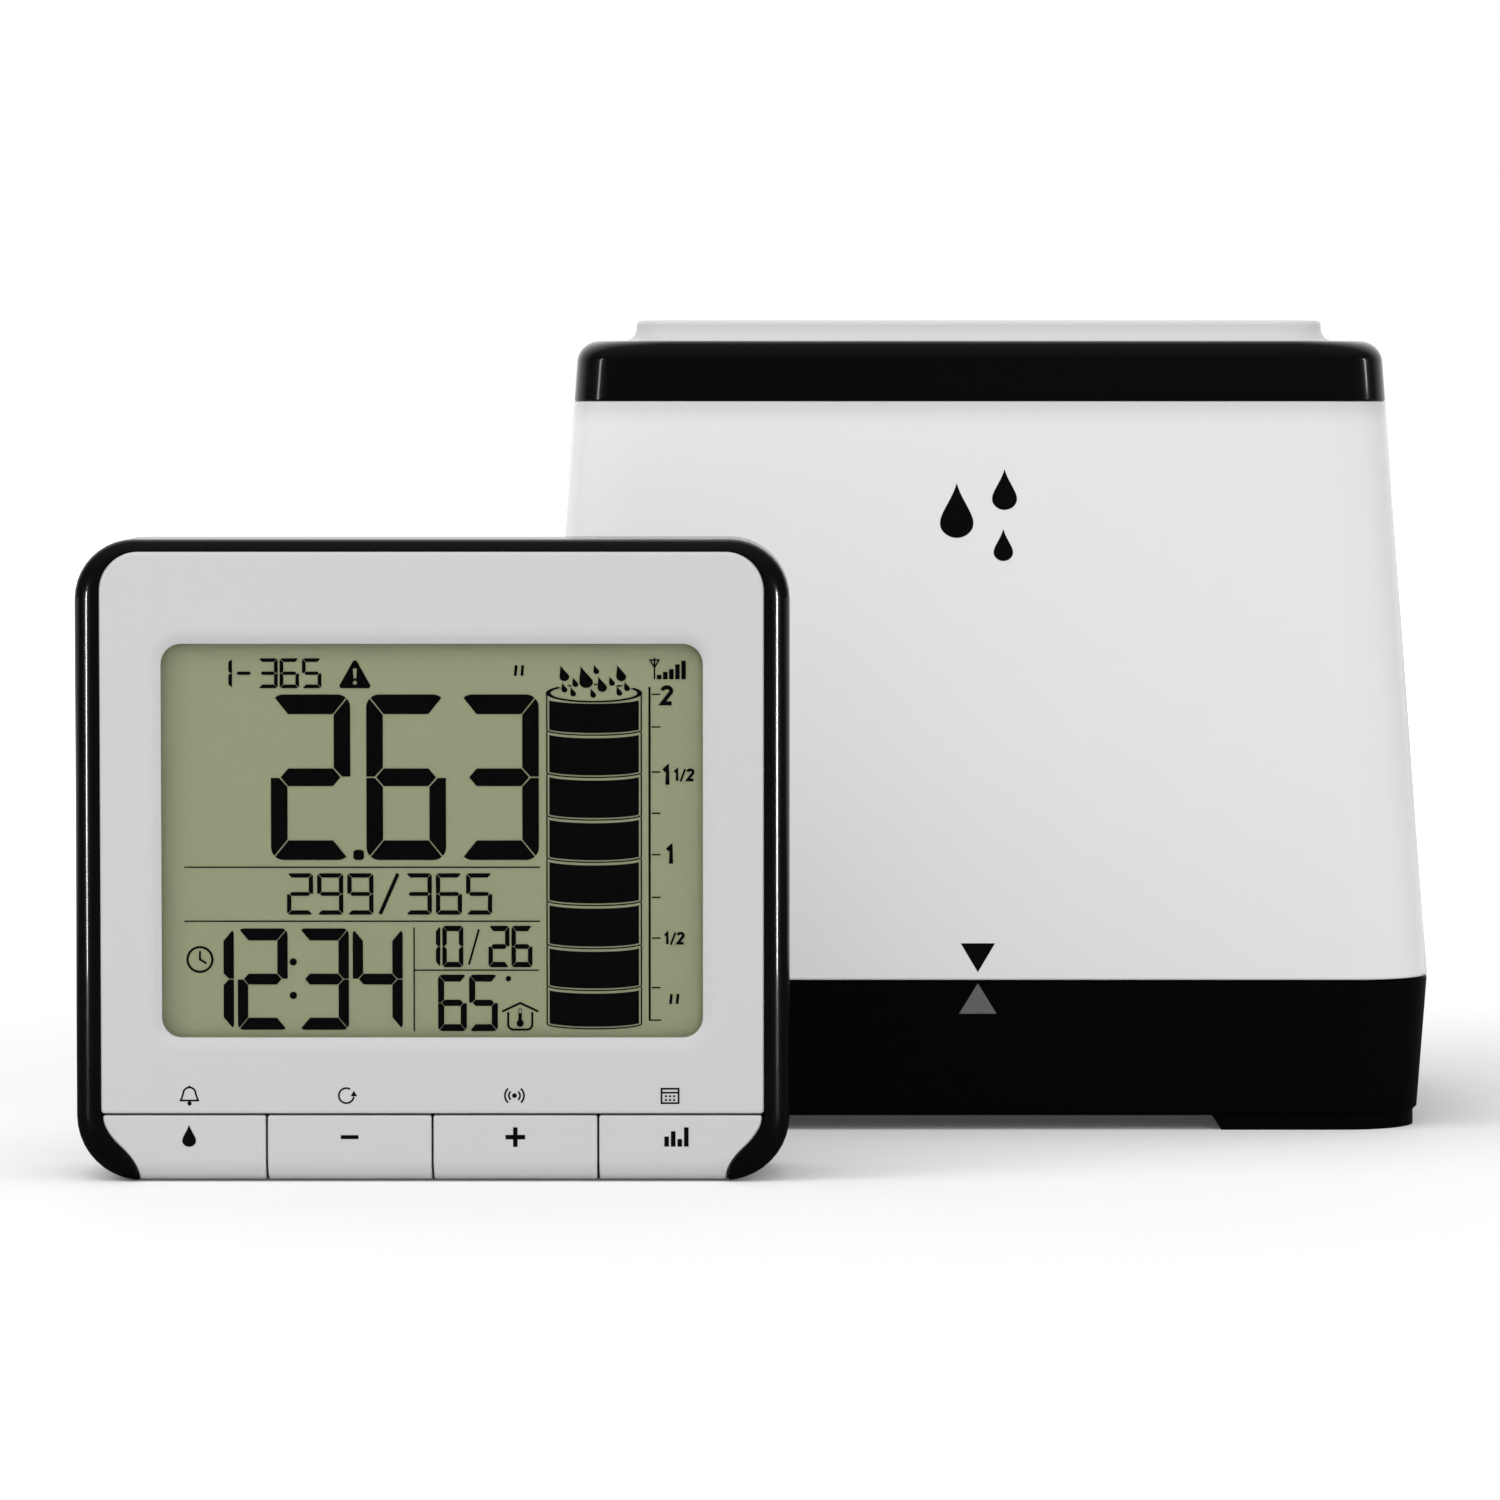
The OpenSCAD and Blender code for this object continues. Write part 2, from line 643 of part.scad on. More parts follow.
// A slotted screw, its head's seat at the origin and its shank downwards
module screw(head_r, head_h, shank_r, shank_len) {
    difference() {
        union() {
            cylinder(r = head_r, h = head_h);
            translate([0, 0, -shank_len]) cylinder(r = shank_r, h = shank_len + head_h / 2);
        }
        translate([0, 0, head_h]) cube([3 * head_r, screw_slot_share * head_r, head_h], center = true);
    }
}

module mechanism_screws() {
    color("silver") sensor_place() mechanism_spots() translate([0, 0, frame_z1])
        screw(screw_head_r, screw_head_h, pilot_r, mechanism_screw_len);
}

// The bucket turns about the axle, and lies on its left stop at rest
module bucket_place() {
    sensor_place() translate([0, 0, axle_z]) rotate([0, -tip_angle, 0]) children();
}

cup_end_z = keel_h + cup_len * tan(cup_angle);
cup_skin = cup_wall / cos(cup_angle);

module across_y(w) {
    rotate([90, 0, 0]) linear_extrude(w, center = true) children();
}

module cup_side_2d() {
    polygon([[-cup_len, cup_end_z - cup_skin], [0, keel_h - cup_skin], [cup_len, cup_end_z - cup_skin],
        [cup_len, cup_end_z + cup_edge_h], [cup_wall, vane_h], [-cup_wall, vane_h],
        [-cup_len, cup_end_z + cup_edge_h]]);
}

module cup_floor_2d() {
    polygon([[-cup_len, cup_end_z - cup_skin], [0, keel_h - cup_skin], [cup_len, cup_end_z - cup_skin],
        [cup_len, cup_end_z], [0, keel_h], [-cup_len, cup_end_z]]);
}

module tipping_bucket() {
    side_y = (cup_w - cup_wall) / 2;
    color([0.1, 0.1, 0.11]) bucket_place() difference() {
        union() {
            for (s = [-1, 1]) translate([0, s * side_y, 0]) across_y(cup_wall) cup_side_2d();
            across_y(cup_w) cup_floor_2d();
            across_y(cup_w) translate([-cup_wall / 2, keel_h - cup_skin])
                square([cup_wall, vane_h - keel_h + cup_skin]);
            across_y(cup_w) circle(axle_r + axle_boss_wall);
        }
        across_y(cup_w + 2 * over) circle(axle_r);
    }
}

module bucket_axle() {
    color("silver") bucket_place() across_y(2 * axle_half) circle(axle_r);
}

module bucket_magnet() {
    color([0.35, 0.35, 0.37]) bucket_place() translate([0, cup_w / 2 + magnet_len / 2, 0])
        across_y(magnet_len) translate([0, magnet_h]) circle(magnet_r);
}

rib_w = 1.2;

module electronics_case() {
    inner_r = case_corner_r - case_wall;
    color([0.7, 0.71, 0.71]) sensor_place() difference() {
        union() {
            translate([0, case_mid_y, 0]) difference() {
                block(2 * case_half_w, case_d, case_corner_r, deck_z, case_top_z);
                block(2 * (case_half_w - case_wall), case_d - 2 * case_wall, inner_r, deck_z + case_wall,
                    case_top_z + over);
            }
            for (s = [-1, 1]) for (y = [board_y0 - rib_w, board_y1])
                translate([s * (case_half_w - case_wall) - rib_w, y, deck_z + case_wall / 2])
                    cube([2 * rib_w, rib_w, case_top_z - deck_z - case_wall - lid_boss_h]);
            for (s = [-1, 1])
                translate([s * (ear_x - case_wall / 2), case_mid_y, deck_z + boss_h + ear_t / 2])
                    cube([ear_w + case_wall, ear_d, ear_t], center = true);
            translate([lid_screw_x, case_y0 + case_wall, 0]) lid_screw_boss();
        }
        for (s = [-1, 1]) translate([s * ear_x, case_mid_y, deck_z])
            cylinder(r = pilot_r + run_gap, h = boss_h + ear_t + over);
        translate([lid_screw_x, case_y0 + case_wall + lid_screw_in, case_top_z - lid_screw_hole])
            cylinder(r = lid_screw_r + lid_screw_gap, h = lid_screw_hole + over);
    }
}

// The captive lid screw goes into a boss at the front wall
lid_screw_x = case_half_w / 2;
lid_screw_r = 1.2;
lid_screw_gap = 0.35;
lid_screw_reach = 3;
lid_screw_hole = 5;
plug_gap = 1;
lid_screw_in = plug_gap + lid_screw_gap + lid_screw_r;
lid_boss_half = lid_screw_r + lid_screw_gap + rib_w;

module lid_screw_boss() {
    translate([-lid_boss_half, -case_wall / 2, case_top_z - lid_boss_h - lid_screw_hole])
        cube([2 * lid_boss_half, case_wall / 2 + lid_screw_in + lid_boss_half,
            lid_boss_h + lid_screw_hole - plug_h - fit_gap]);
}

plug_h = 2;
seal_t = 1.6;
lid_chamfer = 2;
chamfer_cut = sqrt(2) * lid_chamfer;
inner_w = 2 * (case_half_w - case_wall);
inner_d = case_d - 2 * case_wall;

module sensor_lid() {
    color([0.68, 0.69, 0.69]) sensor_place() difference() {
        union() {
            translate([0, case_mid_y, 0]) difference() {
                block(2 * case_half_w, case_d, case_corner_r, case_top_z + fit_gap, case_top_z + lid_t);
                translate([0, case_d / 2, case_top_z + lid_t]) rotate([45, 0, 0])
                    cube([3 * case_half_w, chamfer_cut, chamfer_cut], center = true);
            }
            translate([0, case_mid_y, 0]) block(inner_w - 2 * plug_gap, inner_d - 2 * plug_gap,
                case_corner_r - case_wall, case_top_z - plug_h, case_top_z + lid_t / 2);
            span_box([cell_xs[0] - cell_r / 2, cell_y - cell_r / 2, contact_z + contact_t],
                [cell_xs[1] + cell_r / 2, cell_y + cell_r / 2, case_top_z]);
        }
        translate([lid_screw_x, case_y0 + case_wall + lid_screw_in, case_top_z - plug_h - over])
            cylinder(r = lid_screw_r, h = plug_h + lid_t + 2 * over);
        translate([lid_screw_x, case_y0 + case_wall + lid_screw_in, case_top_z + lid_t - screw_head_h])
            cylinder(r = screw_head_r, h = screw_head_h + over);
    }
}

module lid_seal() {
    color([0.1, 0.1, 0.1]) sensor_place() translate([0, case_mid_y, 0]) difference() {
        block(inner_w - 2 * fit_gap, inner_d - 2 * fit_gap, case_corner_r - case_wall,
            case_top_z - seal_t, case_top_z + fit_gap);
        block(inner_w - 2 * plug_gap, inner_d - 2 * plug_gap, case_corner_r - case_wall,
            case_top_z - seal_t - over, case_top_z + over);
    }
}

module lid_screw() {
    color("silver") sensor_place()
        translate([lid_screw_x, case_y0 + case_wall + lid_screw_in, case_top_z + lid_t - screw_head_h])
            screw(screw_head_r, screw_head_h, lid_screw_r, lid_t - screw_head_h + lid_screw_reach);
}

module lid_contact() {
    color("silver") sensor_place() span_box([cell_xs[0] - cell_r / 2, cell_y - cell_r / 2, contact_z],
        [cell_xs[1] + cell_r / 2, cell_y + cell_r / 2, contact_z + contact_t]);
}

nub_r = 2.6;
nub_h = 1;

// A cell that stands on the origin with its button up
module cell() {
    cylinder(r = cell_r, h = cell_len - nub_h);
    translate([0, 0, cell_len - nub_h]) cylinder(r = nub_r, h = nub_h);
}

module sensor_cells() {
    color([0.75, 0.55, 0.15]) sensor_place() {
        translate([cell_xs[0], cell_y, cell_z0]) cell();
        translate([cell_xs[1], cell_y, cell_z0 + cell_len]) mirror([0, 0, 1]) cell();
    }
}

module sensor_contacts() {
    color("silver") sensor_place() for (x = cell_xs) translate([x, cell_y, deck_z + case_wall]) {
        translate([-cell_r / 2, -cell_r / 2, 0]) cube([cell_r, cell_r, contact_t]);
        cylinder(r1 = cell_r / 2, r2 = nub_r, h = spring_h);
    }
}

board_low_z = deck_z + case_wall;
board_high_z = contact_z - contact_t;

module transmitter_board() {
    half = case_half_w - case_wall - fit_gap;
    color([0.1, 0.4, 0.2]) sensor_place() difference() {
        span_box([-half, board_y0, board_low_z], [half, board_y1, board_high_z]);
        translate([lid_screw_x, board_y0, board_high_z])
            cube([3 * lid_boss_half, 3 * board_t, 4 * lid_boss_h], center = true);
    }
}

chip_w = 9;
chip_t = 1.5;

module transmitter_chip() {
    color([0.12, 0.12, 0.12]) sensor_place()
        span_box([case_half_w / 2 - chip_w / 2, board_y1, axle_z - chip_w],
            [case_half_w / 2 + chip_w / 2, board_y1 + chip_t, axle_z]);
}

reed_r = 1.1;
reed_len = 14;
lead_r = 0.3;
lead_len = 3;

module reed_switch() {
    color([0.6, 0.75, 0.6]) sensor_place() translate([0, board_y0 - reed_r, axle_z + magnet_h])
        rotate([0, 90, 0]) {
            cylinder(r = reed_r, h = reed_len, center = true);
            cylinder(r = lead_r, h = reed_len + 2 * lead_len, center = true);
        }
}

wire_r = 0.5;

module transmitter_antenna() {
    x = case_half_w - case_wall - 2 * rib_w - wire_r;
    color([0.7, 0.45, 0.2]) sensor_place() translate([x, board_y1 + wire_r, board_low_z + boss_h])
        cylinder(r = wire_r, h = board_high_z - board_low_z - 2 * boss_h);
}

// Outlines of the console's face
face_w = console_w - 2 * band_side;
face_top = console_h - band_top;
sweep_steps = 12;
// Height where the black corner's sweep starts, and its own height as a share of the key line's
sweep_top = key_line - key_gap / 4;
sweep_share = 0.92;
function sweep_x(y) = let (u = min(1, max(0, (sweep_top - y) / (sweep_share * key_line))))
    face_w / 2 - sweep_in * (1 - cos(180 * u)) / 2;

// The panel's outline, grown or shrunk all round, down to the height low
module face_2d(grow, low) {
    r = panel_r + grow;
    w = face_w + 2 * grow;
    top = face_top + grow;
    translate([-w / 2, low]) square([w, top - r - low]);
    translate([-w / 2 + r, low]) square([w - 2 * r, top - low]);
    for (s = [-1, 1]) translate([s * (w / 2 - r), top - r]) circle(r);
}

// The strip that the keys share, between the black corners
module key_strip_2d(shrink, low, high) {
    ys = [for (i = [0:sweep_steps]) low + (high - low) * i / sweep_steps];
    polygon(concat([for (y = ys) [sweep_x(y) - shrink, y]],
        [for (i = [sweep_steps:-1:0]) [shrink - sweep_x(ys[i]), ys[i]]]));
}

function case_ring(inset, z) = let (w = console_w - 2 * inset, h = console_h - 2 * inset)
    [for (q = [0:3]) for (i = [0:corner_steps])
        let (a = 90 * (q + i / corner_steps), sx = (q == 0 || q == 3) ? 1 : -1, sy = q < 2 ? 1 : -1,
            r = (q < 2 ? console_top_r : console_low_r) - inset)
        [sx * (w / 2 - r) + r * cos(a), console_h / 2 + sy * (h / 2 - r) + r * sin(a), z]];

// Depths behind the board, and the case's own small sizes
inside_z = -console_d + shell_wall;
key_cut_z = -(key_d + key_travel + key_gap);
cell_line_z = -console_d + door_t + bay_gap + cell_r;
bay_front_z = cell_line_z + cell_r + bay_gap / 2;
leg_pocket_d = leg_t + 0.2 * leg_t;
leg_axis_z = -console_d + fit_gap + leg_t / 2;
leg_side = 3.2;
leg_wall = 1.8;
leg_pocket_low = leg_axis_y - leg_len - leg_t / 2;
pillar_head_r = 3.4;
case_screw_r = 1.2;
case_head_r = 2.4;
case_head_h = 1.6;
sink_r = case_head_r + run_gap;
meet_z = (board_back_z + inside_z) / 2 + shell_wall;
seat_z = inside_z + 1.5 * shell_wall;
sound_x = -(leg_w / 2 + (console_w - leg_w) / 4);
sound_y = leg_axis_y - leg_len / 3;
sound_hole_r = 0.9;
sound_pitch = 3;

module case_screw_spots() {
    for (s = [-1, 1]) for (y = [screw_low_y, screw_high_y]) translate([s * screw_x, y, 0]) children();
}

module rear_case() {
    color([0.04, 0.04, 0.045]) console_place() difference() {
        union() {
            difference() {
                loft(concat(
                    [for (i = [0:edge_steps]) let (a = 90 * i / edge_steps)
                        case_ring(back_round * (1 - sin(a)), -console_d + back_round * (1 - cos(a)))],
                    [for (i = [0:edge_steps]) let (a = 90 * i / edge_steps)
                        case_ring(front_round * (1 - cos(a)), -front_round * (1 - sin(a)))]));
                translate([0, 0, -panel_t]) linear_extrude(panel_t + over)
                    face_2d(fit_gap / 2, key_line - key_gap / 2);
                translate([0, 0, -panel_t - ledge_t - over]) linear_extrude(ledge_t + 2 * over)
                    face_2d(-ledge_w, key_line - key_gap / 2);
                translate([0, console_h / 2, 0])
                    block(console_w - 2 * shell_wall, console_h - 2 * shell_wall,
                        console_top_r - shell_wall, inside_z, -panel_t - ledge_t);
                translate([0, 0, key_cut_z]) linear_extrude(over - key_cut_z)
                    key_strip_2d(0, -over, key_line);
            }
            span_box([-bay_len / 2 - bay_wall, bay_y - bay_h / 2 - bay_wall, inside_z - shell_wall / 2],
                [bay_len / 2 + bay_wall, bay_y + bay_h / 2 + bay_wall, bay_front_z + bay_wall]);
            span_box(
                [-leg_w / 2 - leg_side - fit_gap, leg_pocket_low - leg_wall, inside_z - shell_wall / 2],
                [leg_w / 2 + leg_side + fit_gap, leg_axis_y + leg_t / 2 + fit_gap + bay_wall,
                    -console_d + leg_pocket_d + shell_wall]);
            case_screw_spots() translate([0, 0, inside_z - shell_wall / 2])
                cylinder(r = pillar_head_r, h = meet_z - inside_z + shell_wall / 2);
        }
        bay_cuts();
        leg_cuts();
        case_screw_spots() {
            translate([0, 0, -console_d - over]) cylinder(r = sink_r, h = seat_z + console_d + over);
            translate([0, 0, seat_z - over])
                cylinder(r = case_screw_r + run_gap, h = meet_z - seat_z + 2 * over);
        }
        translate([0, hang_y, -console_d - over]) {
            cylinder(r = hang_r, h = shell_wall + 2 * over);
            translate([0, hang_r + hang_slot_r / 2, 0])
                cylinder(r = hang_slot_r, h = shell_wall + 2 * over);
            translate([-hang_slot_r, 0, 0])
                cube([2 * hang_slot_r, hang_r + hang_slot_r / 2, shell_wall + 2 * over]);
        }
        translate([sound_x, sound_y, -console_d - over]) for (i = [-1:1]) for (j = [-1:1])
            translate([i * sound_pitch, j * sound_pitch, 0])
                cylinder(r = sound_hole_r, h = shell_wall + 2 * over);
    }
}

module bay_cuts() {
    span_box([-bay_len / 2, bay_y - bay_h / 2, -console_d - over],
        [bay_len / 2, bay_y + bay_h / 2, bay_front_z]);
    span_box([-bay_len / 2 - cover_lap, bay_y - bay_h / 2 - cover_lap, -console_d - over],
        [bay_len / 2 + cover_lap, bay_y + bay_h / 2 + cover_lap, -console_d + door_t]);
}

module leg_cuts() {
    span_box([-leg_w / 2 - fit_gap, leg_pocket_low, -console_d - over],
        [leg_w / 2 + fit_gap, leg_axis_y + leg_t / 2 + fit_gap, -console_d + leg_pocket_d]);
    translate([0, leg_axis_y, leg_axis_z]) rotate([0, 90, 0])
        cylinder(r = leg_pin_r + run_gap, h = leg_w + 2 * (leg_pin_len + fit_gap), center = true);
}

finger_w = 14;
finger_d = 4;

module stand_leg() {
    color([0.05, 0.05, 0.055]) console_place() translate([0, leg_axis_y, leg_axis_z]) difference() {
        union() {
            along_x(leg_w) {
                circle(leg_t / 2);
                translate([-leg_len, -leg_t / 2]) square([leg_len, leg_t]);
            }
            rotate([0, 90, 0]) cylinder(r = leg_pin_r, h = leg_w + 2 * leg_pin_len, center = true);
        }
        translate([0, -leg_len, 0]) cube([finger_w, 2 * finger_d, leg_t + over], center = true);
    }
}

grip_w = 14;
grip_t = 0.8;
grip_pitch = 2.4;

module battery_cover() {
    w = bay_len + 2 * (cover_lap - fit_gap);
    h = bay_h + 2 * (cover_lap - fit_gap);
    color([0.05, 0.05, 0.055]) console_place() difference() {
        translate([0, bay_y, 0]) block(w, h, fit_gap, -console_d, -console_d + door_t - fit_gap);
        for (i = [0:3]) translate([0, bay_y + h / 2 - (i + 2) * grip_pitch, -console_d])
            cube([grip_w, grip_t, grip_t], center = true);
    }
}

bay_cell_ys = [bay_y - cell_r - bay_gap / 2, bay_y + cell_r + bay_gap / 2];

module console_cells() {
    color([0.75, 0.55, 0.15]) console_place() for (i = [0, 1]) translate([0, bay_cell_ys[i], cell_line_z])
        mirror([i, 0, 0]) translate([bay_len / 2 - contact_t - cell_len, 0, 0]) rotate([0, 90, 0]) cell();
}

module console_contacts() {
    color("silver") console_place() for (i = [0, 1]) translate([0, bay_cell_ys[i], cell_line_z])
        mirror([i, 0, 0]) {
            for (x = [-bay_len / 2, bay_len / 2 - contact_t])
                translate([x, -cell_r / 2, -cell_r / 2]) cube([contact_t, cell_r, cell_r]);
            translate([-bay_len / 2 + contact_t, 0, 0]) rotate([0, 90, 0])
                cylinder(r1 = cell_r / 2, r2 = nub_r, h = bay_spring);
        }
}

module case_screws() {
    color("silver") console_place() case_screw_spots() translate([0, 0, seat_z]) rotate([180, 0, 0])
        screw(case_head_r, case_head_h, case_screw_r, pane_z - panel_t - seat_z);
}

board_screw_r = 0.9;
board_head_h = 1.2;
board_screw_ys = [view_y - view_h / 4, view_y + view_h / 4];

module board_screw_spots() {
    for (s = [-1, 1]) for (y = board_screw_ys) translate([s * board_screw_x, y, 0]) children();
}

module board_screws() {
    color("silver") console_place() board_screw_spots() translate([0, 0, board_back_z]) rotate([180, 0, 0])
        screw(board_boss_r, board_head_h, board_screw_r, board_t + strip_t);
}

panel_low = key_line + key_gap / 2;

module front_fascia() {
    color([0.81, 0.81, 0.82]) console_place() difference() {
        union() {
            translate([0, 0, -panel_t]) linear_extrude(panel_t) face_2d(0, panel_low);
            case_screw_spots() translate([0, 0, meet_z])
                cylinder(r = boss_face_r, h = -panel_t / 2 - meet_z);
            board_screw_spots() translate([0, 0, board_z])
                cylinder(r = board_boss_r, h = -panel_t / 2 - board_z);
        }
        translate([0, view_y, 0]) {
            loft([ring(view_w, view_h, view_r, -panel_t - over),
                ring(view_w, view_h, view_r, -border_sink),
                ring(view_w + 2 * border_w, view_h + 2 * border_w, view_r + border_w, 0),
                ring(view_w + 2 * border_w, view_h + 2 * border_w, view_r + border_w, over)]);
            block(glass_w + 2 * pane_slack, glass_h + 2 * pane_slack, view_r, -panel_t - over,
                -panel_t + pane_t);
        }
        case_screw_spots() translate([0, 0, meet_z - over])
            cylinder(r = case_screw_r, h = pane_z - panel_t + shell_wall / 2 - meet_z + over);
        board_screw_spots() translate([0, 0, board_z - over])
            cylinder(r = board_screw_r, h = strip_t + 2 * over);
    }
}

module display_window() {
    color([0.7, 0.75, 0.72, 0.35]) console_place() translate([0, view_y, 0])
        block(glass_w, glass_h, view_r, pane_z, pane_z + pane_t);
}

module display_glass() {
    color([0.58, 0.6, 0.47]) console_place() translate([0, view_y, 0])
        block(glass_w, glass_h, pane_lap, glass_z, pane_z);
}

module display_frame() {
    color([0.85, 0.85, 0.85]) console_place() translate([0, view_y, 0]) difference() {
        block(frame_w, frame_h, view_r, board_z, pane_z);
        block(glass_w + 2 * pane_slack, glass_h + 2 * pane_slack, pane_lap, glass_z, pane_z + over);
        block(view_w - 2 * pane_lap, glass_h - 2 * pane_slack, pane_lap, board_z - over, glass_z + over);
    }
}

strip_w = 2.2;

module contact_strips() {
    color([0.3, 0.3, 0.32]) console_place() for (s = [-1, 1])
        translate([0, view_y + s * (view_h / 2 - strip_w), (board_z + glass_z) / 2])
            cube([view_w - 6 * pane_lap, strip_w, strip_t], center = true);
}

board_edge = 1.4;
board_notch = 0.4;

module console_board() {
    half = face_w / 2 - ledge_w - board_edge;
    low = shell_wall + key_gap;
    high = face_top - ledge_w - board_edge;
    color([0.1, 0.4, 0.2]) console_place() difference() {
        translate([0, (low + high) / 2, 0]) block(2 * half, high - low, board_edge, board_back_z, board_z);
        case_screw_spots() translate([0, 0, board_back_z - over])
            cylinder(r = boss_face_r + board_notch, h = board_t + 2 * over);
        board_screw_spots() translate([0, 0, board_back_z - over])
            cylinder(r = board_screw_r, h = board_t + 2 * over);
    }
}

dome_r = 6;

module console_chip() {
    color([0.08, 0.08, 0.08]) console_place()
        translate([0, leg_axis_y - leg_len / 2, board_back_z - chip_t])
            cylinder(r1 = dome_r - chip_t, r2 = dome_r, h = chip_t);
}

module receiver_board() {
    x0 = bay_len / 2 + 2 * bay_wall;
    x1 = screw_x - boss_face_r;
    low = bay_y - bay_h / 4;
    high = bay_y + bay_h / 4;
    z1 = board_back_z - 2 * board_t;
    color([0.1, 0.3, 0.5]) console_place() {
        span_box([x0, low, z1 - board_t], [x1, high, z1]);
        for (y = [low + wire_r, bay_y, high - wire_r]) translate([x0 + 2 * wire_r, y, z1 - board_t / 2])
            cylinder(r = wire_r, h = board_back_z - z1 + board_t / 2);
    }
}

module receiver_antenna() {
    x = (bay_len / 2 + 2 * bay_wall + screw_x - boss_face_r) / 2;
    color([0.7, 0.45, 0.2]) console_place() translate([x, bay_y, board_back_z - 3 * board_t - wire_r])
        rotate([-90, 0, 0]) cylinder(r = wire_r, h = bay_h / 2 + dome_r);
}

sounder_r = 8;
sounder_t = 2.4;

module sounder() {
    color([0.8, 0.65, 0.3]) console_place() translate([sound_x, sound_y, inside_z])
        cylinder(r = sounder_r, h = sounder_t);
}

bead_r = 1.3;
bead_leg = 5;

module temperature_probe() {
    color([0.2, 0.2, 0.2]) console_place() translate([-sound_x, sound_y, 0]) {
        translate([0, 0, board_back_z - bead_leg]) sphere(bead_r);
        for (s = [-1, 1]) translate([s * bead_r / 2, 0, board_back_z - bead_leg])
            cylinder(r = lead_r, h = bead_leg);
    }
}

// Keys are counted from the left
key_pitch = face_w / 4;
function key_x(i) = (i - 1.5) * key_pitch;
key_low = key_gap;
key_high = key_line - key_gap / 2;
switch_y = (key_low + key_high) / 2;
switch_z = board_z + switch_t;
plunger_tip = 1.2 * key_travel;
plunger_in = 0.8;
plunger_z = switch_z + plunger_tip;
switch_bore = plunger_in + 1.1 * key_travel;

module key_profile_2d() {
    translate([key_low + key_round, -key_d]) square([key_high - key_low - key_round, key_d]);
    translate([key_low, -key_d]) square([key_round, key_d - key_round]);
    intersection() {
        translate([key_low + key_round, -key_round]) circle(key_round);
        translate([key_low, -key_round]) square(key_round);
    }
}

module key(i) {
    left = key_x(i) - key_pitch / 2 + key_gap / 2;
    right = key_x(i) + key_pitch / 2 - key_gap / 2;
    hollow_left = max(left, sweep_in - face_w / 2 + key_gap) + key_wall;
    hollow_right = min(right, face_w / 2 - sweep_in - key_gap) - key_wall;
    color([0.81, 0.81, 0.82]) console_place() {
        difference() {
            intersection() {
                along_x(2 * console_w) key_profile_2d();
                translate([0, 0, -key_d - over]) linear_extrude(key_d + 2 * over) intersection() {
                    key_strip_2d(key_gap, -over, key_line);
                    translate([left, -over]) square([right - left, key_line + 2 * over]);
                }
            }
            span_box([hollow_left, key_low + key_wall, -key_d - over],
                [hollow_right, key_high - key_wall, -key_wall]);
        }
        translate([key_x(i), switch_y, plunger_z])
            cylinder(r = plunger_r, h = -key_wall / 2 - plunger_z);
    }
}

module plunger(i) {
    color([0.1, 0.1, 0.1]) console_place() translate([key_x(i), switch_y, switch_z - plunger_in])
        cylinder(r = plunger_r, h = plunger_tip + plunger_in);
}

module tact_switches() {
    color([0.3, 0.3, 0.32]) console_place() for (i = [0:3])
        translate([key_x(i), switch_y, 0]) difference() {
            translate([0, 0, board_z + switch_t / 2]) cube([switch_w, switch_w, switch_t], center = true);
            translate([0, 0, switch_z - switch_bore])
                cylinder(r = plunger_r + run_gap, h = switch_bore + over);
        }
}

module alert_key() {
    key(0);
}

module minus_key() {
    key(1);
}

module plus_key() {
    key(2);
}

module history_key() {
    key(3);
}

module alert_plunger() {
    plunger(0);
}

module minus_plunger() {
    plunger(1);
}

module plus_plunger() {
    plunger(2);
}

module history_plunger() {
    plunger(3);
}

base_tray();
housing_shell();
rim_collar();
funnel();
leaf_screen();
bearing_frame();
mechanism_screws();
tipping_bucket();
bucket_axle();
bucket_magnet();
stop_screws();
drain_screens();
electronics_case();
transmitter_board();
transmitter_chip();
reed_switch();
transmitter_antenna();
sensor_cells();
sensor_contacts();
lid_contact();
sensor_lid();
lid_seal();
lid_screw();
front_fascia();
rear_case();
display_window();
display_glass();
display_frame();
contact_strips();
console_board();
console_chip();
tact_switches();
alert_key();
minus_key();
plus_key();
history_key();
alert_plunger();
minus_plunger();
plus_plunger();
history_plunger();
receiver_board();
receiver_antenna();
sounder();
temperature_probe();
console_cells();
console_contacts();
battery_cover();
stand_leg();
case_screws();
board_screws();
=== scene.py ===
import math

import bmesh
import bpy
import numpy as np
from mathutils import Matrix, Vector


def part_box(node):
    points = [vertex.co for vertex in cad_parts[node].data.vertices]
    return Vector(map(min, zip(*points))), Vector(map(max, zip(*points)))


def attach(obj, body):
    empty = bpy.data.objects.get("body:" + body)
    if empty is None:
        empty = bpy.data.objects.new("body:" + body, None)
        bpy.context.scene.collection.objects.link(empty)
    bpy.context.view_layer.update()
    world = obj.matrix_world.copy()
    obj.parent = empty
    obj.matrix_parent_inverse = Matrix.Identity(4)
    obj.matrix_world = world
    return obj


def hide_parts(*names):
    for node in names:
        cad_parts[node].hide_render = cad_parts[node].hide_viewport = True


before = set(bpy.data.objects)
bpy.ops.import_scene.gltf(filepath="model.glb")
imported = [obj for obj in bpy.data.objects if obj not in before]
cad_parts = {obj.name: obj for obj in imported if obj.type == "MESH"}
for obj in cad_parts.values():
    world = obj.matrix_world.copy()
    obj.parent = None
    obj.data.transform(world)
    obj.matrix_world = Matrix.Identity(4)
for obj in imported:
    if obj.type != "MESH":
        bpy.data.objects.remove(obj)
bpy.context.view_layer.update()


# Camera. Both units are seen from the front and a little from above, through a long lens, so that
# upright edges stay upright. It stands more than a metre away.
camera = bpy.data.objects.new("camera", bpy.data.cameras.new("camera"))
camera.data.lens = 162.545
camera.data.sensor_width = 36
camera.data.sensor_fit = "HORIZONTAL"
